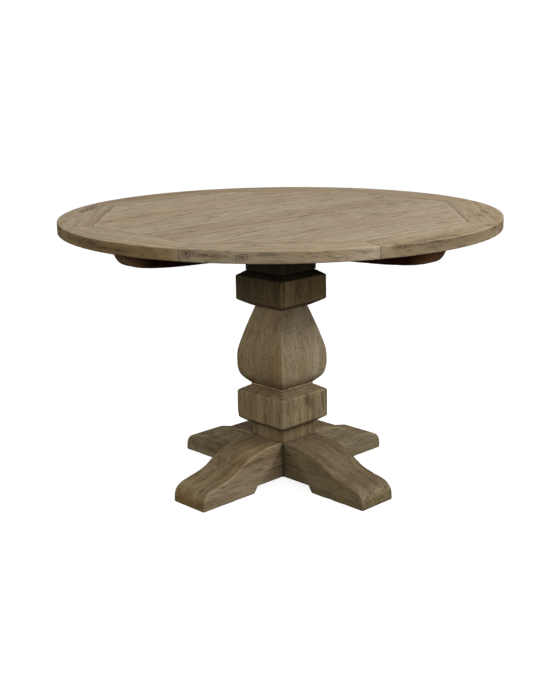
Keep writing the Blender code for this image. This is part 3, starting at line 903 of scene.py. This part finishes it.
def place_piece(node: str, kind: str, bm: BMesh, finish: WoodFinish, board: Board) -> None:
    """Dress a new piece and put it in place of a CAD node.

    Args:
        node: The CAD node that it stands for.
        kind: The word that its own name ends with.
        bm: Its mesh, which is freed.
        finish: Its finish.
        board: How its wood was cut.
    """
    obj = make_object(f"{node}_{kind}", bm)
    obj.data.materials.append(finish.material(node, board))
    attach(obj, BODY)
    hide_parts(node)
    LOG.info("%s: %d faces, in place of %s", obj.name, len(obj.data.polygons), node)


def dress_node(node: str, slot: str, material: bpy.types.Material) -> None:
    """Give a CAD node that keeps its shape its finish.

    Args:
        node: The CAD node's name.
        slot: The record's material slot; not used.
        material: The finish.
    """
    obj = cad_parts[node]
    obj.data.materials.clear()
    obj.data.materials.append(material)
    LOG.info("%s: keeps its shape", node)


# ---------------------------------------------------------------- tabletop


@dataclass
class Tabletop:
    """The planked field and its eight-piece rim.

    Attributes:
        planks: The number of planks.
        rim_boards: The number of rim boards.
        plank_width: The width of a plank.
        seam: The gap between two boards.
        plank_ease: The rounding of a plank's edges.
        edge_ease: The rounding of the top's outer edge.
        facets: The flats round the outer edge.
        tongue: How far a rim board's tongue reaches into the field.
        rim_middle: How far a rim board's middle lies outside the field.
        corner: The least turn, in degrees, of an edge that is rounded over.
        cell: The size of the mesh's cells.
        dirt_reach: How far from a joint dirt shows, beside the rounding of its edges.
        tones: The planks' lightness.
        warmths: How much of the brown stain each plank took.
        wear: How the boards are worn.
    """

    planks: int = 8
    rim_boards: int = 8
    plank_width: float = 128 * MM
    seam: float = 0.3 * MM
    plank_ease: float = 1.0 * MM
    edge_ease: float = 2.5 * MM
    facets: int = 192
    tongue: float = 8 * MM
    rim_middle: float = 60 * MM
    corner: float = 40.0
    cell: float = 12 * MM
    dirt_reach: float = 1.2
    tones: tuple[float, ...] = (1.07, 1.04, 1.05, 1.01, 1.07, 1.10, 1.17, 1.18)
    warmths: tuple[float, ...] = (0.32, 0.24, 0.36, 0.3, 0.2, 0.3, 0.36, 0.3)
    wear: Weathering = Weathering(reach=3 * MM, dents=0.5 * MM, waves=0.12 * MM)

    def __post_init__(self) -> None:
        """Read the sizes that the frame gives."""
        low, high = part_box("rim_segment_1")
        self.under, self.top = low.z, high.z
        self.middle = (low.z + high.z) / 2
        self.radius = high.x
        self.apothem = low.x + self.tongue

    def build(self) -> None:
        """Build and dress every board and the splines between them."""
        for index in range(self.planks):
            self.build_plank(index)
        for index in range(self.rim_boards):
            self.build_rim_board(index)
            name = f"mitre_spline_{index + 1}"
            low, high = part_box(name)
            board = Board(tuple((low + high) / 2), Grain.ALONG_X.value, index)
            dress_node(name, HARDWOOD.slot, HARDWOOD.material(name, board))

    @staticmethod
    def direction(angle: float) -> Vector:
        """Return the level direction at an angle from X."""
        return Vector((math.cos(angle), math.sin(angle), 0.0))

    def build_plank(self, index: int) -> None:
        """Build one plank of the field, its ends cut to the field's eight sides.

        Args:
            index: Its number, from 0 at the -Y side.
        """
        edge = self.apothem - self.seam / 2
        seams = [(part - self.planks / 2) * self.plank_width for part in (index, index + 1)]
        near = max(seams[0] + self.seam / 2, -edge)
        far = min(seams[1] - self.seam / 2, edge)
        bm = cuboid((-edge, near, self.under), (edge, far, self.top))
        along, across = Vector(AXES[0]), Vector(AXES[1])
        joints = [(across * near, -across), (across * far, across)]
        for side in range(self.rim_boards):
            normal = self.direction(side * math.tau / self.rim_boards)
            joints.append((normal * edge, normal))
        for point, normal in joints:
            if max((vert.co - point).dot(normal) for vert in bm.verts) > WELD:
                split(bm, point, normal, drop=True)
        board = Board((0.0, (near + far) / 2, self.middle), Grain.ALONG_X.value, 11.0 + index * 3.7,
                      Shade(self.tones[index]), self.warmths[index],
                      pith=(0.05 * math.sin(index * 2.1), -0.05 - 0.02 * (index % 3)),
                      tilt=(0.03 * math.cos(index * 1.3), 0.012 * math.sin(index * 2.7)))
        self.finish_board(f"field_plank_{index + 1}", bm, board, OAK_FIELD, (along, across), joints)

    def build_rim_board(self, index: int) -> None:
        """Build one curved board of the rim: a disc cut at the field's side and at two mitres.

        Args:
            index: Its number, from 0 at +X.
        """
        sector = math.tau / self.rim_boards
        angle = index * sector
        bm = bmesh.new()
        bmesh.ops.create_cone(bm, cap_ends=True, segments=self.facets, radius1=self.radius,
                              radius2=self.radius, depth=self.top - self.under,
                              matrix=Matrix.Translation((0, 0, self.middle)))
        outer = ease(bm, self.corner, self.edge_ease, 3)
        outward, around = self.direction(angle), self.direction(angle + QUARTER)
        joints = [(outward * (self.apothem + self.seam / 2), -outward)]
        for side in (-1, 1):
            across = self.direction(angle + side * sector / 2 + QUARTER) * side
            joints.append((-across * self.seam / 2, across))
        for point, normal in joints:
            split(bm, point, normal, drop=True)
        centre = outward * (self.apothem + self.rim_middle)
        # The outer edge is made lighter or darker by the way it faces, as painted light and shade.
        shade = Shade(1.08 - 0.03 * (index % 2), *self.painted_edge_light()[index])
        board = Board((centre.x, centre.y, self.middle), (0.0, 0.0, angle + QUARTER),
                      61.0 + index * 4.3, shade, 0.25 + 0.1 * (index % 3),
                      pith=(0.04 * math.cos(index * 1.9), -0.06), tilt=(0.05, 0.03 * (-1) ** index),
                      knots=self.rim_knots().get(index, ()))
        self.finish_board(f"rim_segment_{index + 1}", bm, board, OAK_RIM, (around, outward), joints, outer)

    @staticmethod
    def painted_edge_light() -> tuple[tuple[Colour, Colour], ...]:
        """Return the painted light and shade on each rim board's outer edge: what it is multiplied by where
        it faces along X and along Y.

        Returns:
            The two colours of each board, in order.
        """
        back = (0.80, 0.78, 0.72)
        right = (0.64, 0.63, 0.58)
        return ((back, right), (back, back), (back, back), ((0.46, 0.37, 0.22), back),
                ((0.42, 0.33, 0.14), (1.60, 1.75, 1.90)), ((0.62, 0.62, 0.60), (0.90, 0.93, 0.95)),
                ((1.70, 1.85, 2.00), (0.54, 0.53, 0.47)), (right, right))

    @staticmethod
    def rim_knots() -> dict[int, tuple[Knot, ...]]:
        """Return the knots and marks of each rim board that has some, on the board's own axes.

        Returns:
            Each board's number and its knots.
        """
        return {
            3: (Knot((-0.146, 0.003, 0.015), (0.050, 0.014, 0.03), 0.8),
                Knot((-0.085, -0.013, 0.015), (0.030, 0.010, 0.03), 0.7)),
            4: (Knot((-0.042, -0.055, 0.002), (0.060, 0.030, 0.008), 0.8),
                Knot((0.060, -0.052, -0.003), (0.045, 0.030, 0.006), 0.7)),
            5: (Knot((-0.212, -0.022, 0.005), (0.010, 0.020, 0.009), 0.95),
                Knot((-0.170, -0.036, 0.003), (0.030, 0.020, 0.004), 1.0),
                Knot((-0.084, -0.054, 0.001), (0.013, 0.020, 0.006), 0.95),
                Knot((-0.060, 0.014, 0.015), (0.022, 0.007, 0.02), 0.8)),
            6: (Knot((-0.080, -0.055, 0.012), (0.110, 0.030, 0.005), 0.95),
                Knot((-0.185, -0.035, 0.010), (0.018, 0.030, 0.006), 0.85),
                Knot((0.197, -0.027, 0.010), (0.030, 0.025, 0.007), 0.9)),
            7: (Knot((-0.084, 0.012, 0.015), (0.022, 0.009, 0.02), 0.8),
                Knot((-0.029, -0.013, 0.015), (0.018, 0.008, 0.02), 0.7)),
        }

    def finish_board(self, name: str, bm: BMesh, board: Board, finish: WoodFinish,
                     ways: tuple[Vector, Vector], joints: Sequence[Plane],
                     outer: np.ndarray | None = None) -> None:
        """Ease a board's edges, wear it and put it in place.

        Args:
            name: The CAD node's name.
            bm: The board.
            board: How it was cut.
            finish: Its finish.
            ways: The directions of its length and its width.
            joints: The (point, normal) planes where it meets its neighbours.
            outer: The sharp line of an edge that is rounded already.
        """
        lines = ease(bm, self.corner, self.plank_ease, 2)
        if outer is not None:
            lines = np.concatenate([lines, outer])
        for way in ways:
            split_evenly(bm, way, self.cell)
        split_evenly(bm, AXES[2], self.cell / 2)
        self.wear.apply(bm, lines, board.seed, self.joint_dirt(joints))
        place_piece(name, "board", bm, finish, board)

    def joint_dirt(self, joints: Sequence[Plane]) -> DirtAndShade:
        """Return where dirt settles on a board: in the joints with its neighbours.

        Args:
            joints: The (point, normal) planes of the joints.

        Returns:
            The dirt at a place.
        """
        def dirt(place: Vector, normal: Vector) -> float:
            """Return the dirt at a place."""
            inside = min((point - place).dot(way) for point, way in joints)
            return max(0.0, 1.0 - inside / (self.dirt_reach * self.plank_ease))
        return dirt


# ---------------------------------------------------------------- bearers


@dataclass
class Bearers:
    """The two crossed bearers under the top.

    Attributes:
        root: Where the curve of the underside starts.
        rises: Points of that curve, each a distance from the middle and its rise.
        lip: The depth of the nose at its tip.
        ease: The rounding of the edges.
        corner: The least turn, in degrees, of an edge that is rounded over.
        cell: The size of the mesh's cells.
        lit_nose: How much of a nose is left lit, without the painted shade.
        wear: How they are worn.
    """

    root: float = 130 * MM
    rises: Outline = ((275 * MM, 6.5 * MM), (411 * MM, 14.5 * MM), (500 * MM, 25.5 * MM),
                      (540 * MM, 39.5 * MM))
    lip: float = 14 * MM
    ease: float = 3 * MM
    corner: float = 30.0
    cell: float = 9 * MM
    lit_nose: float = 70 * MM
    wear: Weathering = Weathering(reach=5 * MM, dents=0.7 * MM)

    def build(self) -> None:
        """Build and dress both bearers."""
        for index, name in enumerate(("bearer_x", "bearer_y")):
            low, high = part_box(name)
            reach, half = high[index], high[1 - index]
            bm = slab(self.outline(reach, low.z, high.z), half, index * QUARTER)
            lines = ease(bm, self.corner, self.ease, 3)
            divide(bm, self.cell)
            # Painted shade darkens each bearer everywhere but on its lit noses.
            self.wear.apply(bm, lines, 5.0 + index, self.painted_shade_of(index, reach))
            turn = (Grain.ALONG_X, Grain.ALONG_Y)[index].value
            board = Board((0.0, 0.0, (high.z + low.z) / 2), turn, 140.0 + index, pith=(0.03, -0.08))
            place_piece(name, "rail", bm, OAK_BEARERS, board)

    def outline(self, reach: float, low: float, high: float) -> Outline:
        """Return a bearer's side outline.

        Args:
            reach: Its half length.
            low: The height of its underside at the middle.
            high: The height of its top.

        Returns:
            The (along, up) points.
        """
        curve = [(along, low + rise) for along, rise in self.rises]
        underside = smooth_curve([(self.root, low), *curve, (reach, high - self.lip)], 5)
        left = [(-along, up) for along, up in reversed(underside)]
        return [(-reach, high), *left, *underside, (reach, high)]

    def painted_shade_of(self, axis: int, reach: float) -> DirtAndShade:
        """Return where a bearer is darkened by painted shade: everywhere but on its noses, which catch the
        light.

        Args:
            axis: The axis that it runs along.
            reach: Its half length.

        Returns:
            The painted shade at a place.
        """
        def stain(place: Vector, normal: Vector) -> float:
            """Return the painted shade at a place."""
            return min(1.0, max(0.0, (reach - abs(place[axis])) / self.lit_nose - 0.25))
        return stain


# ---------------------------------------------------------------- column


@dataclass
class Column:
    """The stacked pieces of the column, each square in plan.

    Attributes:
        pieces: Their names from the top down.
        vase_curve: Points of the vase between its ends, each a half side and a height.
        vase_top: The vase's half side at its top.
        vase_foot: The vase's half side at its foot.
        upper_side: The heights between which the upper block's sides are upright.
        upper_foot: The upper block's half side at its foot.
        lower_top: The lower block's half side at its top.
        lower_side: The heights between which the lower block's sides are upright.
        lower_foot: The lower block's half side at its foot.
        block_ease: The rounding of a block's edges.
        vase_ease: The rounding of the vase's four ridges.
        post_ease: The rounding of the other pieces' edges.
        corner: The least turn, in degrees, of an edge that is rounded over.
        cell: The size of the mesh's cells.
        crack: The two ends of the drying crack in the lower block, each its place along X and its height.
        crack_width: The crack's width.
        crack_depth: The crack's depth.
        wear: How the pieces are worn.
    """

    pieces: tuple[str, ...] = ("neck", "upper_block", "vase", "collar_plate", "lower_block", "base_post")
    vase_curve: Outline = ((68.2 * MM, 454 * MM), (83.3 * MM, 402 * MM), (89.8 * MM, 372 * MM),
                           (91.4 * MM, 340 * MM), (88.4 * MM, 313 * MM), (80.9 * MM, 295.5 * MM))
    vase_top: float = 52.7 * MM
    vase_foot: float = 63.8 * MM
    upper_side: tuple[float, float] = (590 * MM, 521 * MM)
    upper_foot: float = 58 * MM
    lower_top: float = 63.2 * MM
    lower_side: tuple[float, float] = (255.5 * MM, 175.5 * MM)
    lower_foot: float = 73 * MM
    block_ease: float = 3 * MM
    vase_ease: float = 2.5 * MM
    post_ease: float = 1.0 * MM
    corner: float = 20.0
    cell: float = 7 * MM
    crack: Outline = ((67 * MM, 252 * MM), (76 * MM, 192 * MM))
    crack_width: float = 4.5 * MM
    crack_depth: float = 8 * MM
    wear: Weathering = Weathering(reach=6 * MM, dents=1.0 * MM, waves=0.3 * MM)

    def build(self) -> None:
        """Build and dress the column from the top down."""
        for order, name in enumerate(self.pieces):
            self.build_piece(order, name)

    def profile(self, name: str) -> Outline:
        """Return a piece's (half side, height) outline, top to bottom.

        Args:
            name: The CAD node's name.

        Returns:
            The points.
        """
        low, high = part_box(name)
        top, foot, inner = high.x, high.x, ()
        if name == "upper_block":
            top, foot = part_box("neck")[1].x, self.upper_foot
            inner = [(high.x, height) for height in self.upper_side]
        elif name == "lower_block":
            top, foot = self.lower_top, self.lower_foot
            inner = [(high.x, height) for height in self.lower_side]
        elif name == "vase":
            return smooth_curve([(self.vase_top, high.z), *self.vase_curve, (self.vase_foot, low.z)], 4)
        return [(top, high.z), *inner, (foot, low.z)]

    def build_piece(self, order: int, name: str) -> None:
        """Build one piece of the column.

        Args:
            order: Its place from the top down.
            name: The CAD node's name.
        """
        bm = square_turning(self.profile(name))
        lines = ease(bm, self.corner, self.ease_of(name), 4)
        divide(bm, self.cell)
        low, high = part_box(name)
        figure = ()
        if name == "lower_block":
            start, end = (Vector((along, -high.x, height)) for along, height in self.crack)
            open_crack(bm, start, end, -Vector(AXES[1]), self.crack_width, self.crack_depth)
            figure = (Knot((0.079, -0.092, -0.010), (0.014, 0.030, 0.008), 0.7),
                      Knot((0.064, -0.092, -0.022), (0.010, 0.030, 0.006), 0.6))
        seed = 200.0 + 9.1 * order
        self.wear.apply(bm, lines, seed, self.dirt_and_shade_of(name))
        turn = (Grain.UPRIGHT, Grain.UPRIGHT_TURNED)[order % 2].value
        board = Board((0.0, 0.0, low.z), turn, seed, self.tones_and_painted_light()[name], pith=(0.02, -0.05),
                      tilt=(0.05, 0.06), knots=figure)
        place_piece(name, "wood", bm, OAK_VASE if name == "vase" else OAK_BASE, board)

    @staticmethod
    def tones_and_painted_light() -> dict[str, Shade]:
        """Return each piece's tone and painted light and shade.

        Returns:
            Each piece's name and its tone and painted light and shade.
        """
        return {
            # Painted light and shade: the neck, the base post and the upper block's sides facing along X
            # darkened; the vase, the collar plate and the upper block's sides facing along Y lightened.
            "neck": Shade(0.38, (1.0, 0.95, 0.70), (1.0, 0.95, 0.70)),
            "upper_block": Shade(0.90, (0.56, 0.52, 0.35), (1.40, 1.40, 1.22)),
            "vase": Shade(1.24, (0.90, 0.92, 0.92), (1.16, 1.31, 1.70)),
            "collar_plate": Shade(1.35),
            "lower_block": Shade(0.95, (1.10, 1.15, 1.25), (0.96, 1.0, 1.05)),
            "base_post": Shade(0.82),
        }

    def ease_of(self, name: str) -> float:
        """Return the rounding of a piece's edges."""
        widths = {"upper_block": self.block_ease, "lower_block": self.block_ease, "vase": self.vase_ease}
        return widths.get(name, self.post_ease)

    @staticmethod
    def dirt_and_shade_of(name: str) -> DirtAndShade | None:
        """Return where a piece is darkened: on a block's shoulders, strongly on the upper block as painted
        shade under the neck and the top, and down a crack as painted shade.

        Args:
            name: The CAD node's name.

        Returns:
            The darkening at a place, or None where there is none.
        """
        if not name.endswith("block"):
            return None
        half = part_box(name)[1].x
        # Upward faces are darkened: strongly on the upper block as painted shade under the neck and the top,
        # a little on the lower block.
        shoulder = 1.4 if name == "upper_block" else 0.3

        def dirt_and_shade(place: Vector, normal: Vector) -> float:
            """Return the darkening at a place: on a shoulder, or down a crack in an upright side.

            Args:
                place: A point of the surface.
                normal: The way that the surface faces.

            Returns:
                The darkening, from 0 to 1.
            """
            inside = half - max(abs(place.x), abs(place.y))
            # The inside of the crack is darkened as painted shade.
            in_crack = inside > 1.5 * MM and abs(normal.z) < 0.5
            return 1.0 if in_crack else shoulder * max(0.0, normal.z) ** 2
        return dirt_and_shade


# ---------------------------------------------------------------- feet


@dataclass
class Feet:
    """The four ogee feet.

    Attributes:
        shoulder: How far the flat shoulder reaches.
        ogee: Points of the curve from the shoulder to the toe, each a distance and a height.
        toe: The height where the curve meets the upright toe.
        arch: The height of the arch between the pads.
        pad: Where the pad starts.
        slope: How far the arch's end slopes.
        ease: The rounding of a foot's edges.
        corner: The least turn, in degrees, of an edge that is rounded over.
        cell: The size of the mesh's cells.
        corner_shade_out: How far along a foot the painted shade in its corner fades.
        corner_shade_aside: How far across a foot it fades.
        wear: How the feet are worn.
    """

    shoulder: float = 118 * MM
    ogee: Outline = ((160 * MM, 117 * MM), (194 * MM, 106 * MM), (232 * MM, 85.5 * MM), (262 * MM, 70 * MM),
                     (300 * MM, 61.2 * MM), (332 * MM, 54 * MM), (351 * MM, 43.5 * MM), (360.5 * MM, 28 * MM))
    toe: float = 8 * MM
    arch: float = 19.5 * MM
    pad: float = 172 * MM
    slope: float = 13 * MM
    ease: float = 5 * MM
    corner: float = 30.0
    cell: float = 7 * MM
    corner_shade_out: float = 12 * MM
    corner_shade_aside: float = 50 * MM
    wear: Weathering = Weathering(reach=7 * MM, dents=1.2 * MM, waves=0.4 * MM)

    def __post_init__(self) -> None:
        """Read the post's half side, which is also a foot's half thickness."""
        self.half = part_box("base_post")[1].x

    def build(self) -> None:
        """Build and dress the four feet."""
        for quarter, name in enumerate(("foot_right", "foot_back", "foot_left", "foot_front")):
            low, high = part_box(name)
            outline = self.outline(max(high.x, high.y, -low.x, -low.y), high.z)
            bm = slab(outline, self.half, 0.0)
            outer = [edge for edge in sharp_edges(bm, self.corner)
                     if max(vert.co.x for vert in edge.verts) > self.half + 1 * MM]
            round_over(bm, outer, self.ease, 4)
            turn = Matrix.Rotation(quarter * QUARTER, 3, "Z")
            bmesh.ops.rotate(bm, verts=bm.verts[:], cent=(0, 0, 0), matrix=turn)
            divide(bm, self.cell)
            seed = 300.0 + 7.7 * quarter
            # Painted shade darkens each foot in its corner against the neighbouring feet.
            self.wear.apply(bm, self.sharp_lines(outline, turn), seed, self.dirt_and_shade)
            grain = (Grain.ALONG_X, Grain.ALONG_Y)[quarter % 2].value
            board = Board((0.0, 0.0, 0.06), grain, seed, self.tones_and_painted_light()[name], pith=(0.03, -0.04),
                          tilt=(0.10, 0.22))
            place_piece(name, "wood", bm, OAK_BASE, board)

    @staticmethod
    def tones_and_painted_light() -> dict[str, Shade]:
        """Return each foot's tone and painted light and shade.

        Returns:
            Each foot's name and its tone and painted light and shade.
        """
        return {
            # Painted light and shade: each foot, and each of its sides by the way it faces, made lighter or
            # darker; the front foot most darkened.
            "foot_left": Shade(0.90, (0.93, 0.82, 0.54), (1.18, 1.24, 1.50)),
            "foot_front": Shade(0.66, (1.02, 1.03, 0.96), (1.12, 1.19, 1.10)),
            "foot_back": Shade(0.90, (1.03, 1.14, 1.24), WHITE),
            "foot_right": Shade(0.90, WHITE, (1.08, 1.22, 1.46)),
        }

    def outline(self, reach: float, top: float) -> Outline:
        """Return a foot's side outline: flat shoulder, ogee, rounded toe, pad and arch.

        Args:
            reach: Where the toe ends.
            top: The height of the shoulder.

        Returns:
            The (along, up) points.
        """
        curve = smooth_curve([(self.shoulder, top), *self.ogee, (reach, self.toe)], 4)
        return [(self.half, self.arch), (self.half, top), *curve, (reach, 0.0), (self.pad, 0.0),
                (self.pad - self.slope, self.arch)]

    def sharp_lines(self, outline: Outline, turn: Matrix) -> np.ndarray:
        """Return the ends of a foot's edges before they were rounded.

        Args:
            outline: The foot's side outline.
            turn: The foot's turn.

        Returns:
            Their ends, as segments_of gives them.
        """
        lines = []
        for side in (-self.half, self.half):
            ends = [turn @ Vector((along, side, up)) for along, up in outline[1:]]
            lines += [(start[:], end[:]) for start, end in zip(ends, ends[1:])]
        return np.array(lines)

    def dirt_and_shade(self, place: Vector, normal: Vector) -> float:
        """Return the painted shade at a place: most in the corner against the neighbouring foot.

        Args:
            place: A point of the surface.
            normal: The way that the surface faces; not used.

        Returns:
            The painted shade, from 0 to 1.
        """
        out = max(abs(place.x), abs(place.y)) - self.half
        aside = self.half - min(abs(place.x), abs(place.y))
        return 0.9 * math.exp(-max(out, 0.0) / self.corner_shade_out - max(aside, 0.0) / self.corner_shade_aside)


# ---------------------------------------------------------------- hardware


@dataclass
class Hardware:
    """The rod, nuts, plate, screws and dowels.

    Attributes:
        fittings: What the names of the zinc-plated pieces start with.
    """

    fittings: tuple[str, ...] = ("tie_", "top_screw", "plate_screw")

    def build(self) -> None:
        """Dress every piece of metal and the hidden dowels."""
        zinc = ZINC.material("fittings")
        for name in sorted(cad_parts):
            if name.startswith(self.fittings):
                dress_node(name, ZINC.slot, zinc)
            elif name == "foot_plate":
                dress_node(name, BLACK_STEEL.slot, BLACK_STEEL.material("plate"))
            elif name.startswith("column_dowel"):
                low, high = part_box(name)
                board = Board(tuple((low + high) / 2), Grain.UPRIGHT.value, low.z * 40)
                dress_node(name, HARDWOOD.slot, HARDWOOD.material(name, board))


# ---------------------------------------------------------------- studio


@dataclass(frozen=True)
class Lamp:
    """A square light that faces the column.

    Attributes:
        name: The light's name.
        aside: Its angle to the right of the camera, in degrees.
        above: Its height over the horizon, in degrees.
        size: Its side.
        power: Its power in watts.
        colour: Its colour.
    """

    name: str
    aside: float
    above: float
    size: float
    power: float
    colour: Colour


@dataclass
class Studio:
    """The floor, the sky, the lights and the camera.

    Attributes:
        camera_place: The camera's place.
        camera_yaw: Its turn to the left of the line towards +X+Y, in degrees.
        camera_dip: How far it looks down, in degrees.
        camera_roll: How far it leans, in degrees.
        lens: Its focal length in millimetres.
        floor_size: The floor's half side.
        floor_grey: How much light the floor gives back.
        floor_glow: How much light it gives of its own.
        sky_glow: The sky's strength.
        sky_stops: Its brightness from straight below to straight above.
        backdrop_glow: How bright the backdrop is to the camera.
        lamp_aim: The height that the lamps face.
        lamp_distance: Their distance from there.
        lamps: The lamps.
    """

    camera_place: Point = (-2.217, -2.241, 1.205)
    camera_yaw: float = -0.4
    camera_dip: float = 14.817
    camera_roll: float = 0.721
    lens: float = 58.96
    floor_size: float = 20.0
    floor_grey: float = 0.36
    floor_glow: float = 0.86
    sky_glow: float = 0.62
    sky_stops: Outline = ((0.0, 0.10), (0.5, 0.09), (0.62, 0.14), (0.80, 0.55), (1.0, 1.0))
    backdrop_glow: float = 1.2
    lamp_aim: float = 0.35
    lamp_distance: float = 4.2
    lamps: tuple[Lamp, ...] = (
        Lamp("right", 82.0, 33.0, 1.3, 135.0, (1.0, 0.97, 0.92)),
        Lamp("left", -82.0, 22.0, 1.0, 52.0, (1.0, 0.92, 0.78)),
        Lamp("front", 10.0, 24.0, 1.8, 100.0, (1.0, 0.97, 0.92)),
    )

    def build(self) -> None:
        """Build the studio."""
        self.make_camera()
        self.make_floor()
        self.make_sky()
        for lamp in self.lamps:
            self.hang(lamp)
        bpy.context.scene.view_settings.view_transform = "Standard"
        LOG.info("studio: floor, sky, %d lamps and camera", len(self.lamps))

    @staticmethod
    def view_to_room(vector: Vector) -> Vector:
        """Turn a direction given as (right, away, up) to the camera into the room's axes."""
        return Matrix.Rotation(-math.pi / 4, 3, "Z") @ vector

    def make_camera(self) -> None:
        """Place the camera."""
        yaw, dip = math.radians(self.camera_yaw), math.radians(self.camera_dip)
        roll = math.radians(self.camera_roll)
        ahead = Vector((math.sin(yaw) * math.cos(dip), math.cos(yaw) * math.cos(dip), -math.sin(dip)))
        level = Vector((math.cos(yaw), -math.sin(yaw), 0.0))
        above = level.cross(ahead)
        right = math.cos(roll) * level - math.sin(roll) * above
        up = math.sin(roll) * level + math.cos(roll) * above
        axes = [self.view_to_room(axis) for axis in (right, up, -ahead)]
        data = bpy.data.cameras.new("camera")
        data.lens = self.lens
        data.sensor_width = 36.0
        data.clip_end = 60.0
        camera = bpy.data.objects.new("camera", data)
        camera.matrix_world = Matrix.Translation(self.camera_place) @ Matrix(axes).transposed().to_4x4()
        bpy.context.scene.collection.objects.link(camera)
        bpy.context.scene.camera = camera

    def make_floor(self) -> None:
        """Lay a wide, pale floor that glows a little, so that shadows on it stay faint."""
        bm = bmesh.new()
        bmesh.ops.create_grid(bm, x_segments=4, y_segments=4, size=self.floor_size)
        floor = make_object("floor", bm)
        graph = Graph.of_material("pale_floor")
        graph.set(Base_Color=(*[self.floor_grey] * 3, 1.0), Roughness=1.0, Specular_IOR_Level=0.0,
                  Emission_Color=(*WHITE, 1.0), Emission_Strength=self.floor_glow)
        graph.owner.cycles.emission_sampling = "NONE"
        floor.data.materials.append(graph.owner)
        floor.visible_diffuse = False
        floor.visible_glossy = False

    def make_sky(self) -> None:
        """Light the room from above, and keep the backdrop white."""
        world = bpy.data.worlds.new("studio")
        bpy.context.scene.world = world
        graph = Graph(world)
        way = graph.node("ShaderNodeTexCoord", {}, {}, "Generated")
        height = graph.node("ShaderNodeSeparateXYZ", {}, {0: way}, "Z") * 0.5 + 0.5
        glow = graph.node("ShaderNodeValToRGB", {"stops": self.sky_stops}, {0: height})
        sky = graph.node("ShaderNodeBackground", {}, {"Color": glow, "Strength": self.sky_glow})
        white = graph.tree.nodes["Background"]
        graph.fill(white.inputs["Color"], (*WHITE, 1.0))
        graph.fill(white.inputs["Strength"], self.backdrop_glow)
        seen = graph.node("ShaderNodeLightPath", {}, {}, "Is Camera Ray")
        shaders = {0: seen, 1: sky, 2: Sock(graph, white.outputs[0])}
        graph.fill(graph.tree.nodes["World Output"].inputs["Surface"],
                   graph.node("ShaderNodeMixShader", {}, shaders))

    def hang(self, lamp: Lamp) -> None:
        """Hang a lamp.

        Args:
            lamp: The lamp.
        """
        turn, lift = math.radians(lamp.aside), math.radians(lamp.above)
        level = math.cos(lift)
        way = self.view_to_room(Vector((math.sin(turn) * level, -math.cos(turn) * level, math.sin(lift))))
        data = bpy.data.lights.new(lamp.name, "AREA")
        data.shape = "SQUARE"
        data.size = lamp.size
        data.energy = lamp.power
        data.color = lamp.colour
        light = bpy.data.objects.new(lamp.name, data)
        light.location = Vector((0.0, 0.0, self.lamp_aim)) + way * self.lamp_distance
        light.rotation_euler = way.to_track_quat("Z", "Y").to_euler()
        bpy.context.scene.collection.objects.link(light)


def main() -> None:
    """Build the studio and the table."""
    logging.basicConfig(level=logging.INFO, format="%(message)s")
    for part in (Studio(), Tabletop(), Bearers(), Column(), Feet(), Hardware()):
        part.build()


if __name__ == "__main__":
    main()
